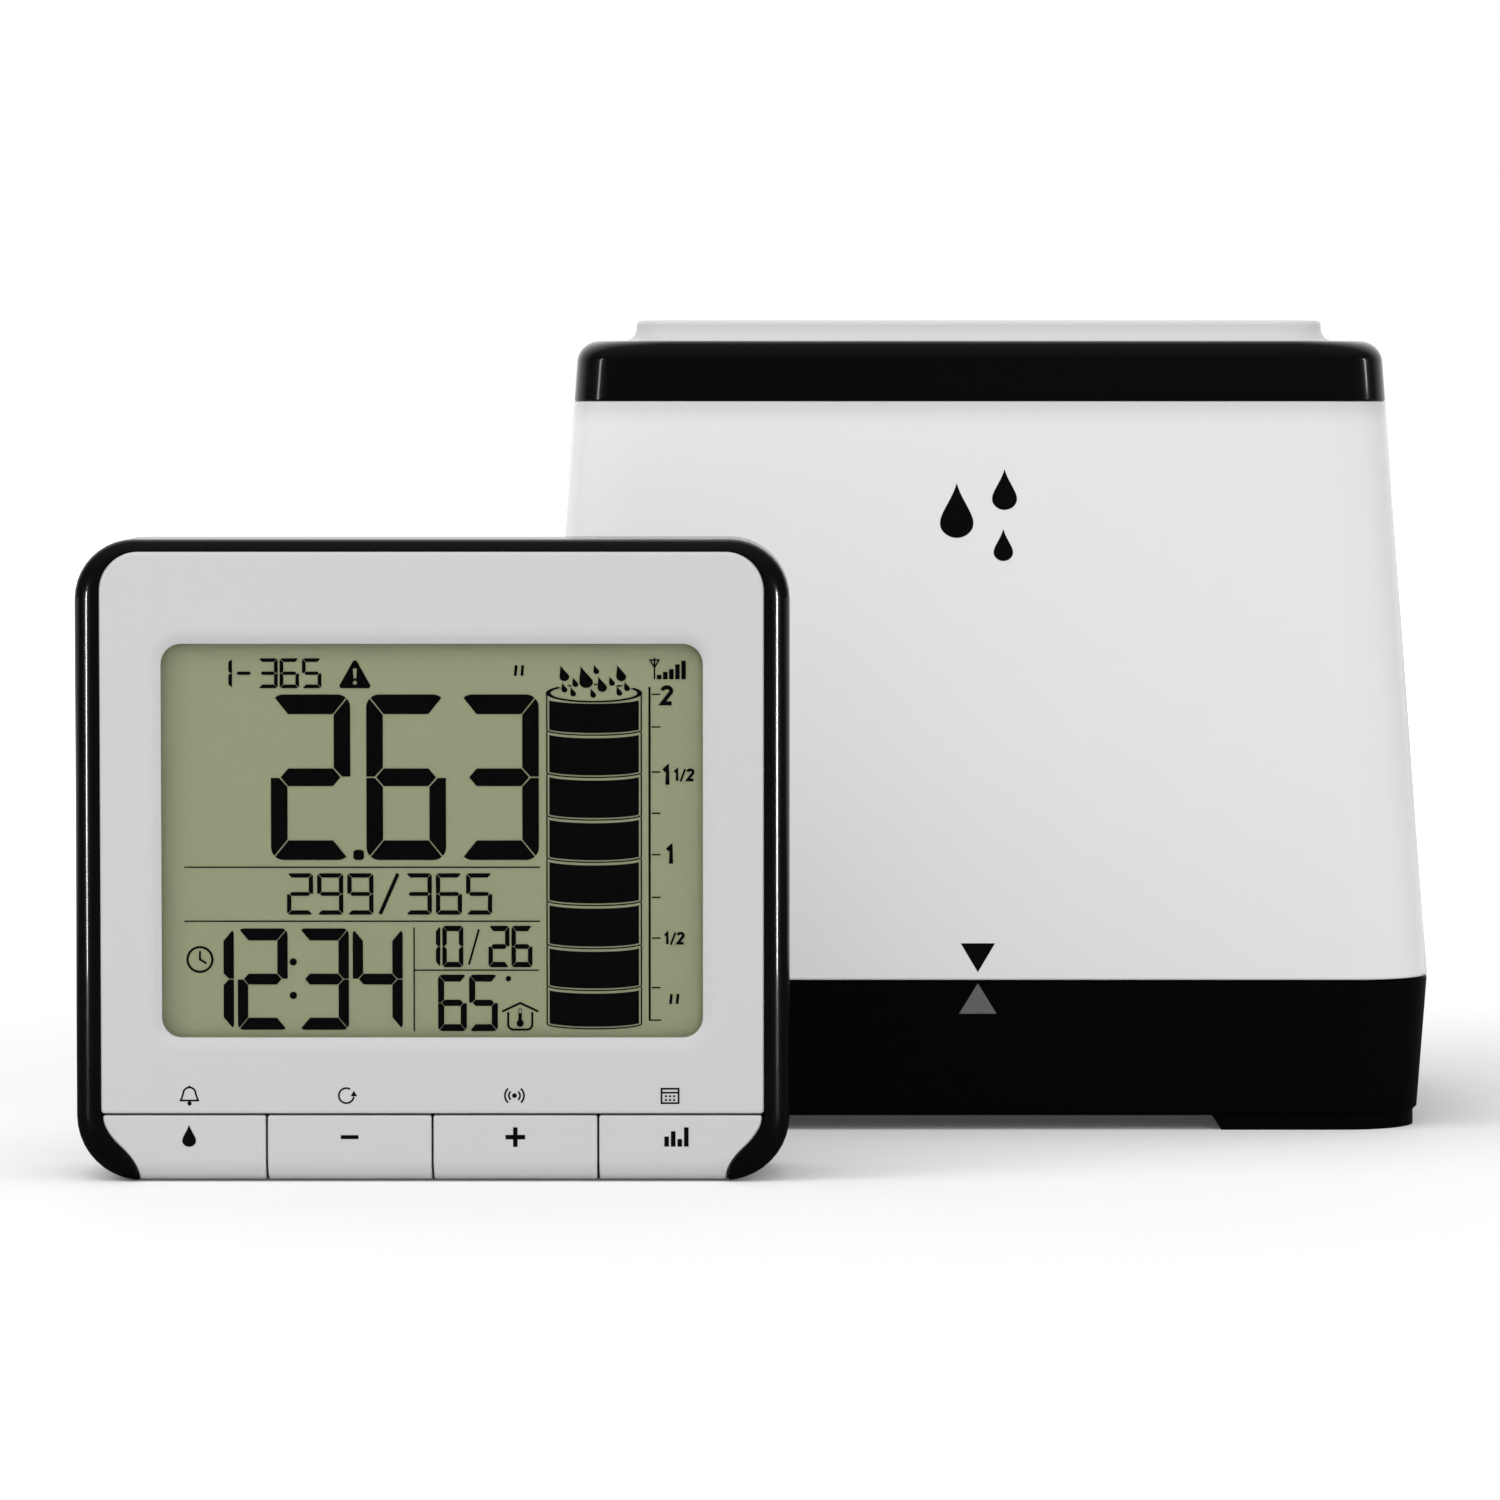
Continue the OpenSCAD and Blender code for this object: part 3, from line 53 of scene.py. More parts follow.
camera.data.clip_start = 0.05
camera.location = (-0.00435, -1.1127, 0.1191)
camera.rotation_euler = (math.radians(90 - 2.958), 0, 0)
bpy.context.scene.collection.objects.link(camera)
bpy.context.scene.camera = camera


# Base of the rain sensor. It is moulded in black ABS with a fine spark texture, stands on four low
# feet, and carries the mechanism. Screws through the feet hold it to a post or a shelf.
MM = 0.001
FEET_Z, PARTING_Z, SEAM_Z = 2.4, 24.7, 118.9
BASE_LEAN, COVER_LEAN = 1.5, 6.7
HALF_W, HALF_D = 73.6, 49.0
CORNER = 13.0
base_low, base_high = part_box("base_tray")
SENSOR_X = (base_low.x + base_high.x) / 2 / MM
SENSOR_Y = (base_low.y + base_high.y) / 2 / MM


def on_sensor(points):
    """Points measured from the sensor's middle on the ground, moved to its place."""
    return points + np.array([SENSOR_X, SENSOR_Y, 0])


def lean(height):
    """How far the sensor's wall has moved in at a height: nothing at the parting line, from there evenly
    up to the cover's lean at the seam, and evenly down to the base's lean at the feet."""
    up = (height - PARTING_Z) / (SEAM_Z - PARTING_Z)
    down = (PARTING_Z - height) / (PARTING_Z - FEET_Z)
    return np.where(height > PARTING_Z, COVER_LEAN * up, BASE_LEAN * down)


def plan(inset, height, corner=None):
    """A row of a path on the sensor's leaning wall: half width, front, back, two corner radii, height."""
    w, d = HALF_W - lean(height) - inset, HALF_D - lean(height) - inset
    r = CORNER - inset if corner is None else corner
    return [w, -d, d, r, r, height]


def eased(path, cuts, steps=5, closed=True):
    """Each corner P between neighbours A and B becomes an arc that starts and ends at a distance cut
    from P: P + (1 - sin t) cut unit(A - P) + (1 - cos t) cut unit(B - P), t over a quarter turn.
    Lengths are measured in the first and the last column."""
    path, cuts = np.asarray(path, float), np.asarray(cuts, float)[:, None]
    back, ahead = np.roll(path, 1, 0) - path, np.roll(path, -1, 0) - path
    back /= np.hypot(back[:, 0], back[:, -1])[:, None] + 1e-9
    ahead /= np.hypot(ahead[:, 0], ahead[:, -1])[:, None] + 1e-9
    t = np.linspace(0, np.pi / 2, steps + 1)[None, :, None]
    start, stop = (cuts * back)[:, None], (cuts * ahead)[:, None]
    arcs = path[:, None] + (1 - np.sin(t)) * start + (1 - np.cos(t)) * stop
    if not closed:
        arcs[0], arcs[-1] = path[0], path[-1]
    arcs = arcs.reshape(-1, path.shape[1])
    moved = np.abs(arcs - np.roll(arcs, 1, 0)).max(1) > 1e-5
    return arcs[moved]


def rings(path, steps=14):
    """A ring of points for each row (half width, low, high, radius low, radius high, height): quarter
    q lies about its own middle at the radius, from angle q to q + 1 quarter turns."""
    w, low, high, r_low, r_high, h = (np.asarray(path, float)[:, k, None, None] for k in range(6))
    a = (np.arange(4)[:, None] + np.linspace(0, 1, steps + 1)) * np.pi / 2
    right = np.array([1, -1, -1, 1])[:, None]
    top = np.array([True, True, False, False])[:, None]
    r = np.where(top, r_high, r_low)
    x = right * (w - r) + r * np.cos(a)
    y = np.where(top, high - r, low + r) + r * np.sin(a)
    return np.stack([x, y, np.broadcast_to(h, x.shape)], -1).reshape(len(x), -1, 3)


def lofted(points, closed=False):
    """Quads that join point i of ring k to point i + 1 and to ring k + 1. A closed loft joins its last
    ring to its first, and an open one has a flat face on each end."""
    m, n = points.shape[:2]
    k, i = np.arange(m if closed else m - 1)[:, None], np.arange(n)[None, :]
    next_k, next_i = (k + 1) % m, (i + 1) % n
    quads = np.stack([k * n + i, k * n + next_i, next_k * n + next_i, next_k * n + i], -1)
    ends = [] if closed else [np.arange(n)[None, ::-1], (m - 1) * n + np.arange(n)[None, :]]
    return points.reshape(-1, 3), [quads.reshape(-1, 4)] + ends


def solid(name, shells, finish, crisp=32, weighted=True):
    """One piece from shells of points in millimetres and faces. Doubles are merged, edges over the
    crisp angle stay sharp, and the large flat faces set the normals of the small arcs beside them."""
    points, faces, first = [], [], 0
    for shell_points, shell_faces in shells:
        points.append(shell_points)
        for group in shell_faces:
            faces += (group + first).tolist()
        first += len(shell_points)
    mesh = bpy.data.meshes.new(name)
    mesh.from_pydata((np.concatenate(points) * MM).tolist(), [], faces)
    build = bmesh.new()
    build.from_mesh(mesh)
    bmesh.ops.remove_doubles(build, verts=build.verts, dist=0.0002 * MM)
    bmesh.ops.dissolve_degenerate(build, edges=build.edges, dist=0.0001 * MM)
    build.to_mesh(mesh)
    build.free()
    mesh.shade_smooth()
    mesh.set_sharp_from_angle(angle=math.radians(crisp))
    mesh.materials.append(finish)
    piece = bpy.data.objects.new(name, mesh)
    bpy.context.scene.collection.objects.link(piece)
    if weighted:
        normals = piece.modifiers.new("normals", "WEIGHTED_NORMAL")
        normals.keep_sharp = True
    return piece


def merged_copy(node, name, finish, edge, segments=2, crisp=30):
    """A CAD node's triangles with their doubles merged and its flat faces divided anew into fewer
    triangles, then every edge over the crisp angle rounded by edge millimetres."""
    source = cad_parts[node].data
    corners = np.empty(len(source.vertices) * 3, np.float32)
    source.vertices.foreach_get("co", corners)
    places, index = np.unique(np.round(corners.reshape(-1, 3) / MM, 4), axis=0, return_inverse=True)
    ties = np.empty(len(source.loops), np.int32)
    source.loops.foreach_get("vertex_index", ties)
    triangles = index.reshape(-1)[ties].reshape(-1, 3)
    first, second, third = triangles.T
    whole = (first != second) & (second != third) & (first != third)
    piece = solid(name, [(places, [triangles[whole]])], finish, crisp, weighted=False)
    build = bmesh.new()
    build.from_mesh(piece.data)
    bmesh.ops.dissolve_limit(
        build, angle_limit=math.radians(0.6), use_dissolve_boundaries=False,
        verts=build.verts, edges=build.edges, delimit=set())
    bmesh.ops.triangulate(build, faces=[face for face in build.faces if len(face.verts) > 4])
    build.to_mesh(piece.data)
    build.free()
    round_edges(piece, edge, segments, crisp)
    return piece


def round_edges(piece, edge, segments, crisp=30):
    """A small round on every edge over the crisp angle, edge millimetres wide."""
    bevel = piece.modifiers.new("edges", "BEVEL")
    bevel.width = edge * MM
    bevel.segments = segments
    bevel.limit_method = "ANGLE"
    bevel.angle_limit = math.radians(crisp)
    bevel.use_clamp_overlap = True
    bevel.miter_outer = "MITER_ARC"
    normals = piece.modifiers.new("normals", "WEIGHTED_NORMAL")
    normals.keep_sharp = False


class Wire:
    """An output of a material's node. Sums, differences, products, quotients and powers of it add Math
    nodes."""

    def __init__(self, tree, socket):
        self.tree, self.socket = tree, socket

    def math(self, operation, first, second):
        node = self.tree.nodes.new("ShaderNodeMath")
        node.operation = operation
        for place, value in zip(node.inputs, (first, second)):
            if isinstance(value, Wire):
                self.tree.links.new(value.socket, place)
            else:
                place.default_value = value
        return Wire(self.tree, node.outputs[0])

    def __add__(self, other):
        return self.math("ADD", self, other)

    def __radd__(self, other):
        return self.math("ADD", other, self)

    def __sub__(self, other):
        return self.math("SUBTRACT", self, other)

    def __rsub__(self, other):
        return self.math("SUBTRACT", other, self)

    def __mul__(self, other):
        return self.math("MULTIPLY", self, other)

    def __rmul__(self, other):
        return self.math("MULTIPLY", other, self)

    def __truediv__(self, other):
        return self.math("DIVIDE", self, other)

    def __rtruediv__(self, other):
        return self.math("DIVIDE", other, self)

    def __pow__(self, other):
        return self.math("POWER", self, other)

    def __rpow__(self, other):
        return self.math("POWER", other, self)


class Finish:
    """A material under construction, or the world: its nodes are added one by one."""

    def __init__(self, name, owner=None):
        self.material = owner or bpy.data.materials.new(name)
        self.material.use_nodes = True
        self.tree = self.material.node_tree
        self.tree.nodes.clear()

    def node(self, kind, settings=None, sockets=None, out=0):
        """A node of that type, its settings set first, then a value or a Wire for each socket. Sockets
        are named, or counted where two share a name."""
        node = self.tree.nodes.new("ShaderNode" + kind)
        for name, value in (settings or {}).items():
            setattr(node, name, value)
        for name, value in (sockets or {}).items():
            if isinstance(value, Wire):
                self.tree.links.new(value.socket, node.inputs[name])
            else:
                node.inputs[name].default_value = value
        return Wire(self.tree, node.outputs[out]) if len(node.outputs) else None

    def place(self):
        """The object's own coordinates, in metres."""
        return self.node("TexCoord", out="Object")

    def noise(self, size, detail=2, rough=0.5):
        """Noise from 0 to 1 whose cells are about size millimetres wide."""
        return self.node("TexNoise", sockets={
            "Vector": self.place(), "Scale": 1000 / size, "Detail": detail, "Roughness": rough})

    def blend(self, share, first, second):
        """The first colour where share is 0 and the second where it is 1."""
        first, second = (c if isinstance(c, Wire) else (*c, 1) for c in (first, second))
        ends = {0: share, 6: first, 7: second}
        return self.node("Mix", settings={"data_type": "RGBA"}, sockets=ends, out=2)

    def bump(self, height, depth):
        """A normal from a height of 0 to 1 that stands for depth millimetres."""
        return self.node("Bump", sockets={"Strength": 1.0, "Distance": depth * MM, "Height": height})

    def surface(self, **sockets):
        """The Principled surface, with socket names written with underscores, and the output."""
        named = {name.replace("_", " "): value for name, value in sockets.items()}
        for name, value in named.items():
            if isinstance(value, tuple) and len(value) == 3:
                named[name] = (*value, 1)
        shader = self.node("BsdfPrincipled", sockets=named)
        self.node("OutputMaterial", sockets={"Surface": shader})
        return self.material


def moulded(name, colour, roughness, grain, depth, coat=0.0, mottle=0.02, wear=0.05, specular=0.5):
    """Moulded plastic: colour drifts slightly over the part, smears change its gloss, and its skin has a
    grain of that size and depth in millimetres."""
    skin = Finish(name)
    drift, smears, fine = skin.noise(60, 3), skin.noise(9, 4, 0.6), skin.noise(grain, 2, 0.6)
    dark, light = (tuple(c * (1 + s * mottle) for c in colour) for s in (-1, 1))
    return skin.surface(
        Base_Color=skin.blend(drift, dark, light),
        Roughness=roughness - wear / 2 + smears * wear,
        Normal=skin.bump(fine, depth),
        Specular_IOR_Level=specular,
        Coat_Weight=coat,
        Coat_Roughness=0.04,
    )


black_base = moulded(
    "black_base", (0.0018, 0.0018, 0.002), 0.36, 0.5, 0.006, mottle=0.15, wear=0.1, specular=0.08)
base = merged_copy("base_tray", "sensor_base_moulding", black_base, 0.35)
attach(base, "sensor_base")
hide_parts("base_tray")


# Gauze discs in the floor of the base. They are punched from thin stainless sheet and let the
# emptied water run out while they keep insects from coming in.
def metal(name, colour, roughness, grain=0.6):
    """Bare metal: a fine grain of that size in millimetres, which also changes the gloss from place to
    place, and larger faint stains."""
    skin = Finish(name)
    marks, stains = skin.noise(grain, 3, 0.6), skin.noise(7, 3)
    dark = tuple(c * 0.86 for c in colour)
    return skin.surface(
        Base_Color=skin.blend(stains, dark, colour),
        Roughness=roughness - 0.06 + marks * 0.12,
        Metallic=1.0,
        Normal=skin.bump(marks, 0.002),
    )


def dress(node, finish, edge, segments=2):
    """A CAD node keeps its own mesh. Its triangles are welded by a modifier, its edges get a small
    round, and its material is set."""
    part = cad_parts[node]
    part.data.materials.clear()
    part.data.materials.append(finish)
    part.data.shade_smooth()
    weld = part.modifiers.new("weld", "WELD")
    weld.merge_threshold = 0.002 * MM
    round_edges(part, edge, segments)


steel = metal("steel", (0.62, 0.62, 0.6), 0.28)
dress("drain_screens", steel, 0.08, 1)
for fixing in ("mechanism_screws", "stop_screws", "bucket_axle", "lid_screw", "case_screws", "board_screws"):
    dress(fixing, steel, 0.12)


# Tipping mechanism. A rocking bucket of black polycarbonate lies in a light grey cradle on a steel
# pin, and its two cups fill and empty in turn. A magnet on its side passes the reed switch.
inner_black = moulded(
    "inner_black", (0.016, 0.016, 0.017), 0.3, 0.7, 0.004, mottle=0.1, wear=0.14, specular=0.45)
inner_grey = moulded("inner_grey", (0.5, 0.505, 0.51), 0.42, 0.6, 0.006, mottle=0.03, wear=0.1)
magnet_skin = metal("magnet", (0.3, 0.3, 0.31), 0.36, grain=0.4)
dress("tipping_bucket", inner_black, 0.25)
dress("bearing_frame", inner_grey, 0.3)
dress("bucket_magnet", magnet_skin, 0.2)


# Electronics of the sensor. A sealed upright box of grey ABS holds the board, the aerial and two
# cells under a lid, which one captive screw draws down on a rubber seal.
def board_skin(name, colour, trace):
    """Printed board: solder mask over fine copper tracks, which show as lighter lines."""
    skin = Finish(name)
    tracks = skin.node("TexBrick", settings={"offset": 0.5}, sockets={
        "Vector": skin.place(), "Scale": 320.0, "Mortar Size": 0.05, "Mortar Smooth": 0.1,
        "Color1": (0, 0, 0, 1), "Color2": (0.15, 0.15, 0.15, 1), "Mortar": (1, 1, 1, 1)}, out="Color")
    weave = skin.noise(0.35, 2)
    return skin.surface(
        Base_Color=skin.blend(tracks, colour, trace),
        Roughness=0.3 + weave * 0.15,
        Normal=skin.bump(weave, 0.01),
    )


def rubber_skin(name, colour):
    """Soft black rubber with a dusty bloom."""
    skin = Finish(name)
    bloom, fine = skin.noise(5, 4), skin.noise(0.3, 2)
    return skin.surface(
        Base_Color=skin.blend(bloom, colour, tuple(c * 1.7 for c in colour)),
        Roughness=0.7 + bloom * 0.15,
        Normal=skin.bump(fine, 0.01),
    )


green_board = board_skin("circuit_board", (0.012, 0.095, 0.035), (0.03, 0.17, 0.07))
resin = moulded("resin", (0.012, 0.012, 0.013), 0.45, 0.35, 0.01, mottle=0.2)
reed_glass = moulded("reed_glass", (0.2, 0.42, 0.24), 0.08, 1.5, 0.002, coat=0.6)
copper_wire = metal("wire", (0.72, 0.36, 0.16), 0.3, grain=0.3)
rubber = rubber_skin("rubber", (0.014, 0.014, 0.014))
dress("electronics_case", inner_grey, 0.35)
dress("sensor_lid", inner_grey, 0.35)
dress("lid_seal", rubber, 0.2)
dress("transmitter_board", green_board, 0.08, 1)
dress("transmitter_chip", resin, 0.12)
dress("reed_switch", reed_glass, 0.1)
dress("transmitter_antenna", copper_wire, 0.05, 1)
dress("lid_contact", steel, 0.1, 1)
dress("sensor_contacts", steel, 0.05, 1)


# Cells. Each is a steel can in a printed plastic sleeve, with a bare crimped end and a raised button.
# Two stand in the sensor and two lie in the console.
SLEEVE, BAND, CAN = (0.02, 0.09, 0.13), (0.5, 0.5, 0.48), (0.6, 0.6, 0.58)
CELL_LENGTH, BAND_FROM, BARE_FROM = 50.5, 18.0, 24.15
UPRIGHT_FOOT_Z = 9.2
LYING_X, LYING_SHIFT, BETWEEN_Z = -52.725, -2.85, 64.0


def cell_skin(name, axis, middle, shift=0.0):
    """Sleeve in a plain colour with a lighter band by each end, and bare steel ends. The share of band
    and of steel follow the distance from the cell's middle along its axis, in millimetres. Cells above
    the height between the two are shifted one way and those below it the other way."""
    skin = Finish(name)
    spot = skin.node("SeparateXYZ", sockets={"Vector": skin.place()}, out=axis)
    height = Wire(skin.tree, spot.socket.node.outputs["Z"])
    upper = skin.node("MapRange", sockets={
        "Value": height / MM, "From Min": BETWEEN_Z - 0.1, "From Max": BETWEEN_Z + 0.1,
        "To Min": -shift, "To Max": shift})
    along = spot / MM - middle - upper
    reach = skin.node("Math", settings={"operation": "ABSOLUTE"}, sockets={"Value": along})
    banded, bare = (
        skin.node("MapRange", sockets={"Value": reach, "From Min": edge - soft, "From Max": edge + soft})
        for edge, soft in ((BAND_FROM, 0.1), (BARE_FROM, 0.05)))
    scuffs, fine = skin.noise(3, 4, 0.65), skin.noise(0.4, 2)
    wrap = skin.blend(banded, skin.blend(scuffs, tuple(c * 0.75 for c in SLEEVE), SLEEVE), BAND)
    return skin.surface(
        Base_Color=skin.blend(bare, wrap, CAN),
        Metallic=0.25 + bare * 0.75,
        Roughness=0.24 + scuffs * 0.14,
        Normal=skin.bump(fine, 0.004),
    )


upright_wrap = cell_skin("upright_cell_wrap", "Z", UPRIGHT_FOOT_Z + CELL_LENGTH / 2)
lying_wrap = cell_skin("lying_cell_wrap", "X", LYING_X, LYING_SHIFT)
dress("sensor_cells", upright_wrap, 0.35, 3)
dress("console_cells", lying_wrap, 0.35, 3)
dress("console_contacts", steel, 0.05, 1)


# Cover of the sensor. It is a tapered shell of glossy white ABS, polished in the mould, that drops over
# the base. Its upper edge is stepped in to hold the black collar.
WALL = 2.2
STEP_IN, STEP_HIGH, STEP_LEAN = 2.5, 5.2, 0.37


def polished_white(name, colour, collar_shade):
    """Polished white plastic. Its colour goes over to the shaded one in the last millimetres below the
    seam, as painted shade under the collar's edge."""
    skin = Finish(name)
    height = skin.node("SeparateXYZ", sockets={"Vector": skin.place()}, out="Z")
    # Painted shade: darker over the last 4.5 millimetres below the seam, under the collar's edge
    near = skin.node("MapRange", settings={"interpolation_type": "SMOOTHSTEP"}, sockets={
        "Value": height / MM, "From Min": SEAM_Z - 4.5, "From Max": SEAM_Z + 0.5})
    ripple, smears = skin.noise(1.8, 2, 0.6), skin.noise(9, 4, 0.6)
    return skin.surface(
        Base_Color=skin.blend(near, colour, collar_shade),
        Roughness=0.18 + smears * 0.04,
        Normal=skin.bump(ripple, 0.0025),
        Coat_Weight=0.3,
        Coat_Roughness=0.04,
    )


# The second colour is the painted shade under the collar
white_gloss = polished_white("white_gloss", (0.712, 0.714, 0.719), (0.57, 0.572, 0.577))
cover_path = eased(
    [plan(0, PARTING_Z), plan(0, SEAM_Z),
     plan(STEP_IN, SEAM_Z), plan(STEP_IN - STEP_LEAN, SEAM_Z + STEP_HIGH),
     plan(STEP_IN + WALL - STEP_LEAN, SEAM_Z + STEP_HIGH), plan(STEP_IN + WALL, SEAM_Z),
     plan(WALL, SEAM_Z - 4.4), plan(WALL, PARTING_Z)],
    [0.45, 0.25, 0, 0.3, 0.3, 1.0, 1.0, 0.3])
cover = solid("white_cover", [lofted(on_sensor(rings(cover_path, 18)), closed=True)], white_gloss)
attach(cover, "sensor_cover")
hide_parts("housing_shell")


# Marks on the sensor. A black and a grey arrow are pad-printed on cover and base and point at each
# other at the front, and three plain drops are printed high on the cover.
def drop(x, y, size, slant=0.0):
    """A raindrop about (x, y): a circle of radius size/2.9 below, drawn out to a tip at a height of
    size above its foot. It leans by slant times the height above its middle."""
    t = np.linspace(0, 2 * np.pi, 33)[:-1] + np.pi / 2
    pull = np.clip(np.cos((t - np.pi / 2) / 2), -1, 1) ** 2
    r = size / 2.9
    px = r * np.cos(t) * (1 - pull ** 3 * 0.9)
    py = r * np.sin(t) + pull ** 4 * (size - 1.9 * r)
    return [np.stack([x + px + slant * np.maximum(py, 0), y + py], -1)]


def printed(name, shapes, finish, place, thick=0.03):
    """Flat shapes as thin closed plates. Each outline is given a front, a back and a side wall, and
    place turns (x, y, height) arrays into points of the part they are printed on."""
    shells = []
    for shape in shapes:
        area = (shape[:, 0] * np.roll(shape[:, 1], -1) - np.roll(shape[:, 0], -1) * shape[:, 1]).sum()
        shape = shape if area > 0 else shape[::-1]
        layers = [np.column_stack([shape, np.full(len(shape), h)]) for h in (0.0, thick)]
        points, faces = lofted(np.stack(layers))
        shells.append((place(points), faces))
    return solid(name, shells, finish, weighted=False)


def on_front(points):
    """x along the sensor's front, y up, and height out of the leaning wall."""
    x, z, out = points.T
    return on_sensor(np.column_stack([x, lean(z) - HALF_D - out, z]))


def ink(name, colour, roughness=0.45, specular=0.5):
    """Pad-printed ink, slightly uneven in density."""
    skin = Finish(name)
    patches, fine = skin.noise(1.5, 3), skin.noise(0.25, 2)
    return skin.surface(
        Base_Color=skin.blend(patches, tuple(c * 0.85 for c in colour), tuple(c * 1.15 for c in colour)),
        Roughness=roughness + patches * 0.1,
        Normal=skin.bump(fine, 0.003),
        Specular_IOR_Level=specular,
    )


black_ink = ink("black_ink", (0.003, 0.003, 0.0033), specular=0.04)
grey_ink = ink("grey_ink", (0.13, 0.13, 0.13))
cover_arrow = [np.array([(-3.6, 30.7), (-0.8, 26.0), (2.0, 30.7)])]
three_drops = drop(-4.2, 99.6, 8.6) + drop(3.6, 103.4, 6.4) + drop(3.4, 94.6, 5.0)
cover_marks = printed("cover_marks", cover_arrow + three_drops, black_ink, on_front)
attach(cover_marks, "sensor_cover")
arrow = [np.array([(-3.85, 19.2), (2.25, 19.2), (-0.8, 24.2)])]
base_arrow = printed("base_arrow", arrow, grey_ink, on_front)
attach(base_arrow, "sensor_base")


# Collar of the sensor. It is a glossy black ring that snaps over the stepped edge of the cover and
# holds the funnel's flange. Its upper outer edge is generously rounded.
TOP_Z = 128.8
LIP_HALF_W, LIP_HALF_D, LIP_CORNER = 56.7, 32.1, 8.8
COLLAR_WALL, COLLAR_TOP, COLLAR_LEAN = 2.2, 2.4, 0.53
black_gloss = moulded(
    "black_gloss", (0.0024, 0.0024, 0.0026), 0.2, 1.6, 0.003, coat=0.3, mottle=0.1, wear=0.06, specular=0.1)


def lip(out, height):
    """A row of a path on the funnel's lip, moved out by out millimetres."""
    return [LIP_HALF_W + out, -LIP_HALF_D - out, LIP_HALF_D + out, LIP_CORNER + out, LIP_CORNER + out, height]


collar_path = eased(
    [plan(0, SEAM_Z), plan(0, TOP_Z), lip(2.6, TOP_Z), lip(2.6, TOP_Z - COLLAR_TOP),
     plan(COLLAR_WALL - COLLAR_LEAN, TOP_Z - COLLAR_TOP, 10.8), plan(COLLAR_WALL, SEAM_Z, 10.8)],
    [0.3, 3.3, 0.35, 0, 0.3, 0.2], steps=9)
collar = solid("black_collar", [lofted(on_sensor(rings(collar_path, 20)), closed=True)], black_gloss)
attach(collar, "sensor_cover")
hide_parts("rim_collar")


# Funnel of the sensor. It is one thin moulding in light grey-white: an upright lip that catches the
# rain over a known area, a bowl that runs down to a throat, and a spout above the bucket.
funnel_grey = moulded("funnel_grey", (0.665, 0.671, 0.67), 0.34, 0.9, 0.004, mottle=0.01, wear=0.06)
LIP_Z, LIP_WALL = 132.2, 1.8
FLANGE_Z, FLANGE_TOP_Z = 124.1, 126.4
THROAT, THROAT_Z = 7.0, 88.0
BOWL_WALL, BOWL_WIDE, BOWL_LONG, BOWL_DEPTH = 2.3, 46.7, 22.1, 32.5
SPOUT_IN, SPOUT_OUT, SPOUT_Z = 4.0, 5.8, 60.0


def bowl(share, out=0.0):
    """Rows down the bowl: share 1 at its brim and 0 at the throat. Width and depth follow share, and
    height share to the power 1.14, so that the bowl steepens towards the lip."""
    share = np.asarray(share, float)
    height = THROAT_Z + BOWL_DEPTH * share ** 1.14
    w, d = THROAT + share * BOWL_WIDE + out, THROAT + share * BOWL_LONG + out
    r = 0.96 * (THROAT + (1 - share) * (d - out - THROAT)) + out
    return np.stack([w, -d, d, r, r, height], -1)


def pipe(half, height, corner):
    """A row of the spout, which is nearly round."""
    return [half, -half, half, corner, corner, height]


down = np.linspace(1, 0, 15)
inside = np.concatenate([
    bowl(down), [pipe(THROAT, 82, 6.9), pipe(SPOUT_IN, 82, 3.95), pipe(SPOUT_IN, SPOUT_Z, 3.95)]])
outside = np.concatenate([
    [pipe(SPOUT_OUT, SPOUT_Z, 5.7), pipe(SPOUT_OUT, 80, 5.7), pipe(9.3, 80, 9.2)],
    bowl(down[::-1], BOWL_WALL)])
t = np.linspace(0, np.pi / 2, 9)
flare = np.array([
    lip(BOWL_WALL * (1 - s), TOP_Z + BOWL_WALL * (1 - c)) for s, c in zip(np.sin(t), np.cos(t))])
rim = eased(
    [lip(0, TOP_Z + BOWL_WALL), lip(0, LIP_Z), lip(-LIP_WALL, LIP_Z), lip(-LIP_WALL, 128)],
    [0, 0.7, 0.7, 0], closed=False)
flange = [
    lip(BOWL_WALL, 122.3), lip(BOWL_WALL, FLANGE_Z), plan(2.5, FLANGE_Z, 10.5),
    plan(2.5, FLANGE_TOP_Z, 10.5), lip(BOWL_WALL, FLANGE_TOP_Z)]
funnel_path = np.concatenate([flange, flare, rim[1:], inside, outside])
funnel = solid("rain_funnel", [lofted(on_sensor(rings(funnel_path, 18)), closed=True)], funnel_grey)
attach(funnel, "sensor_cover")
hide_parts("funnel")
dress("leaf_screen", inner_black, 0.2)


# Console case. The rear shell is glossy black ABS. It wraps round to the front as a rim, and carries
# the cell bay, the pocket of the leg, the sound holes and the hole for a wall screw.
rear_low, rear_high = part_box("rear_case")
CONSOLE_X = (rear_low.x + rear_high.x) / 2 / MM
FACE_Y = rear_low.y / MM


def on_console(points):
    """x across the console's face, y up it and z towards the viewer, moved to its place."""
    x, y, z = points.T
    return np.column_stack([CONSOLE_X + x, FACE_Y - z, y])


case = merged_copy("rear_case", "console_case", black_gloss, 0.22, 3, 28)
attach(case, "console")
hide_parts("rear_case")
case_satin = moulded(
    "case_satin", (0.006, 0.006, 0.0065), 0.36, 0.5, 0.006, mottle=0.12, wear=0.1, specular=0.35)
cell_cover = merged_copy("battery_cover", "cell_bay_cover", case_satin, 0.25, 3, 28)
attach(cell_cover, "cell_cover")
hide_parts("battery_cover")
leg = merged_copy("stand_leg", "fold_out_leg", case_satin, 0.45, 3, 28)
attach(leg, "stand")
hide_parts("stand_leg")


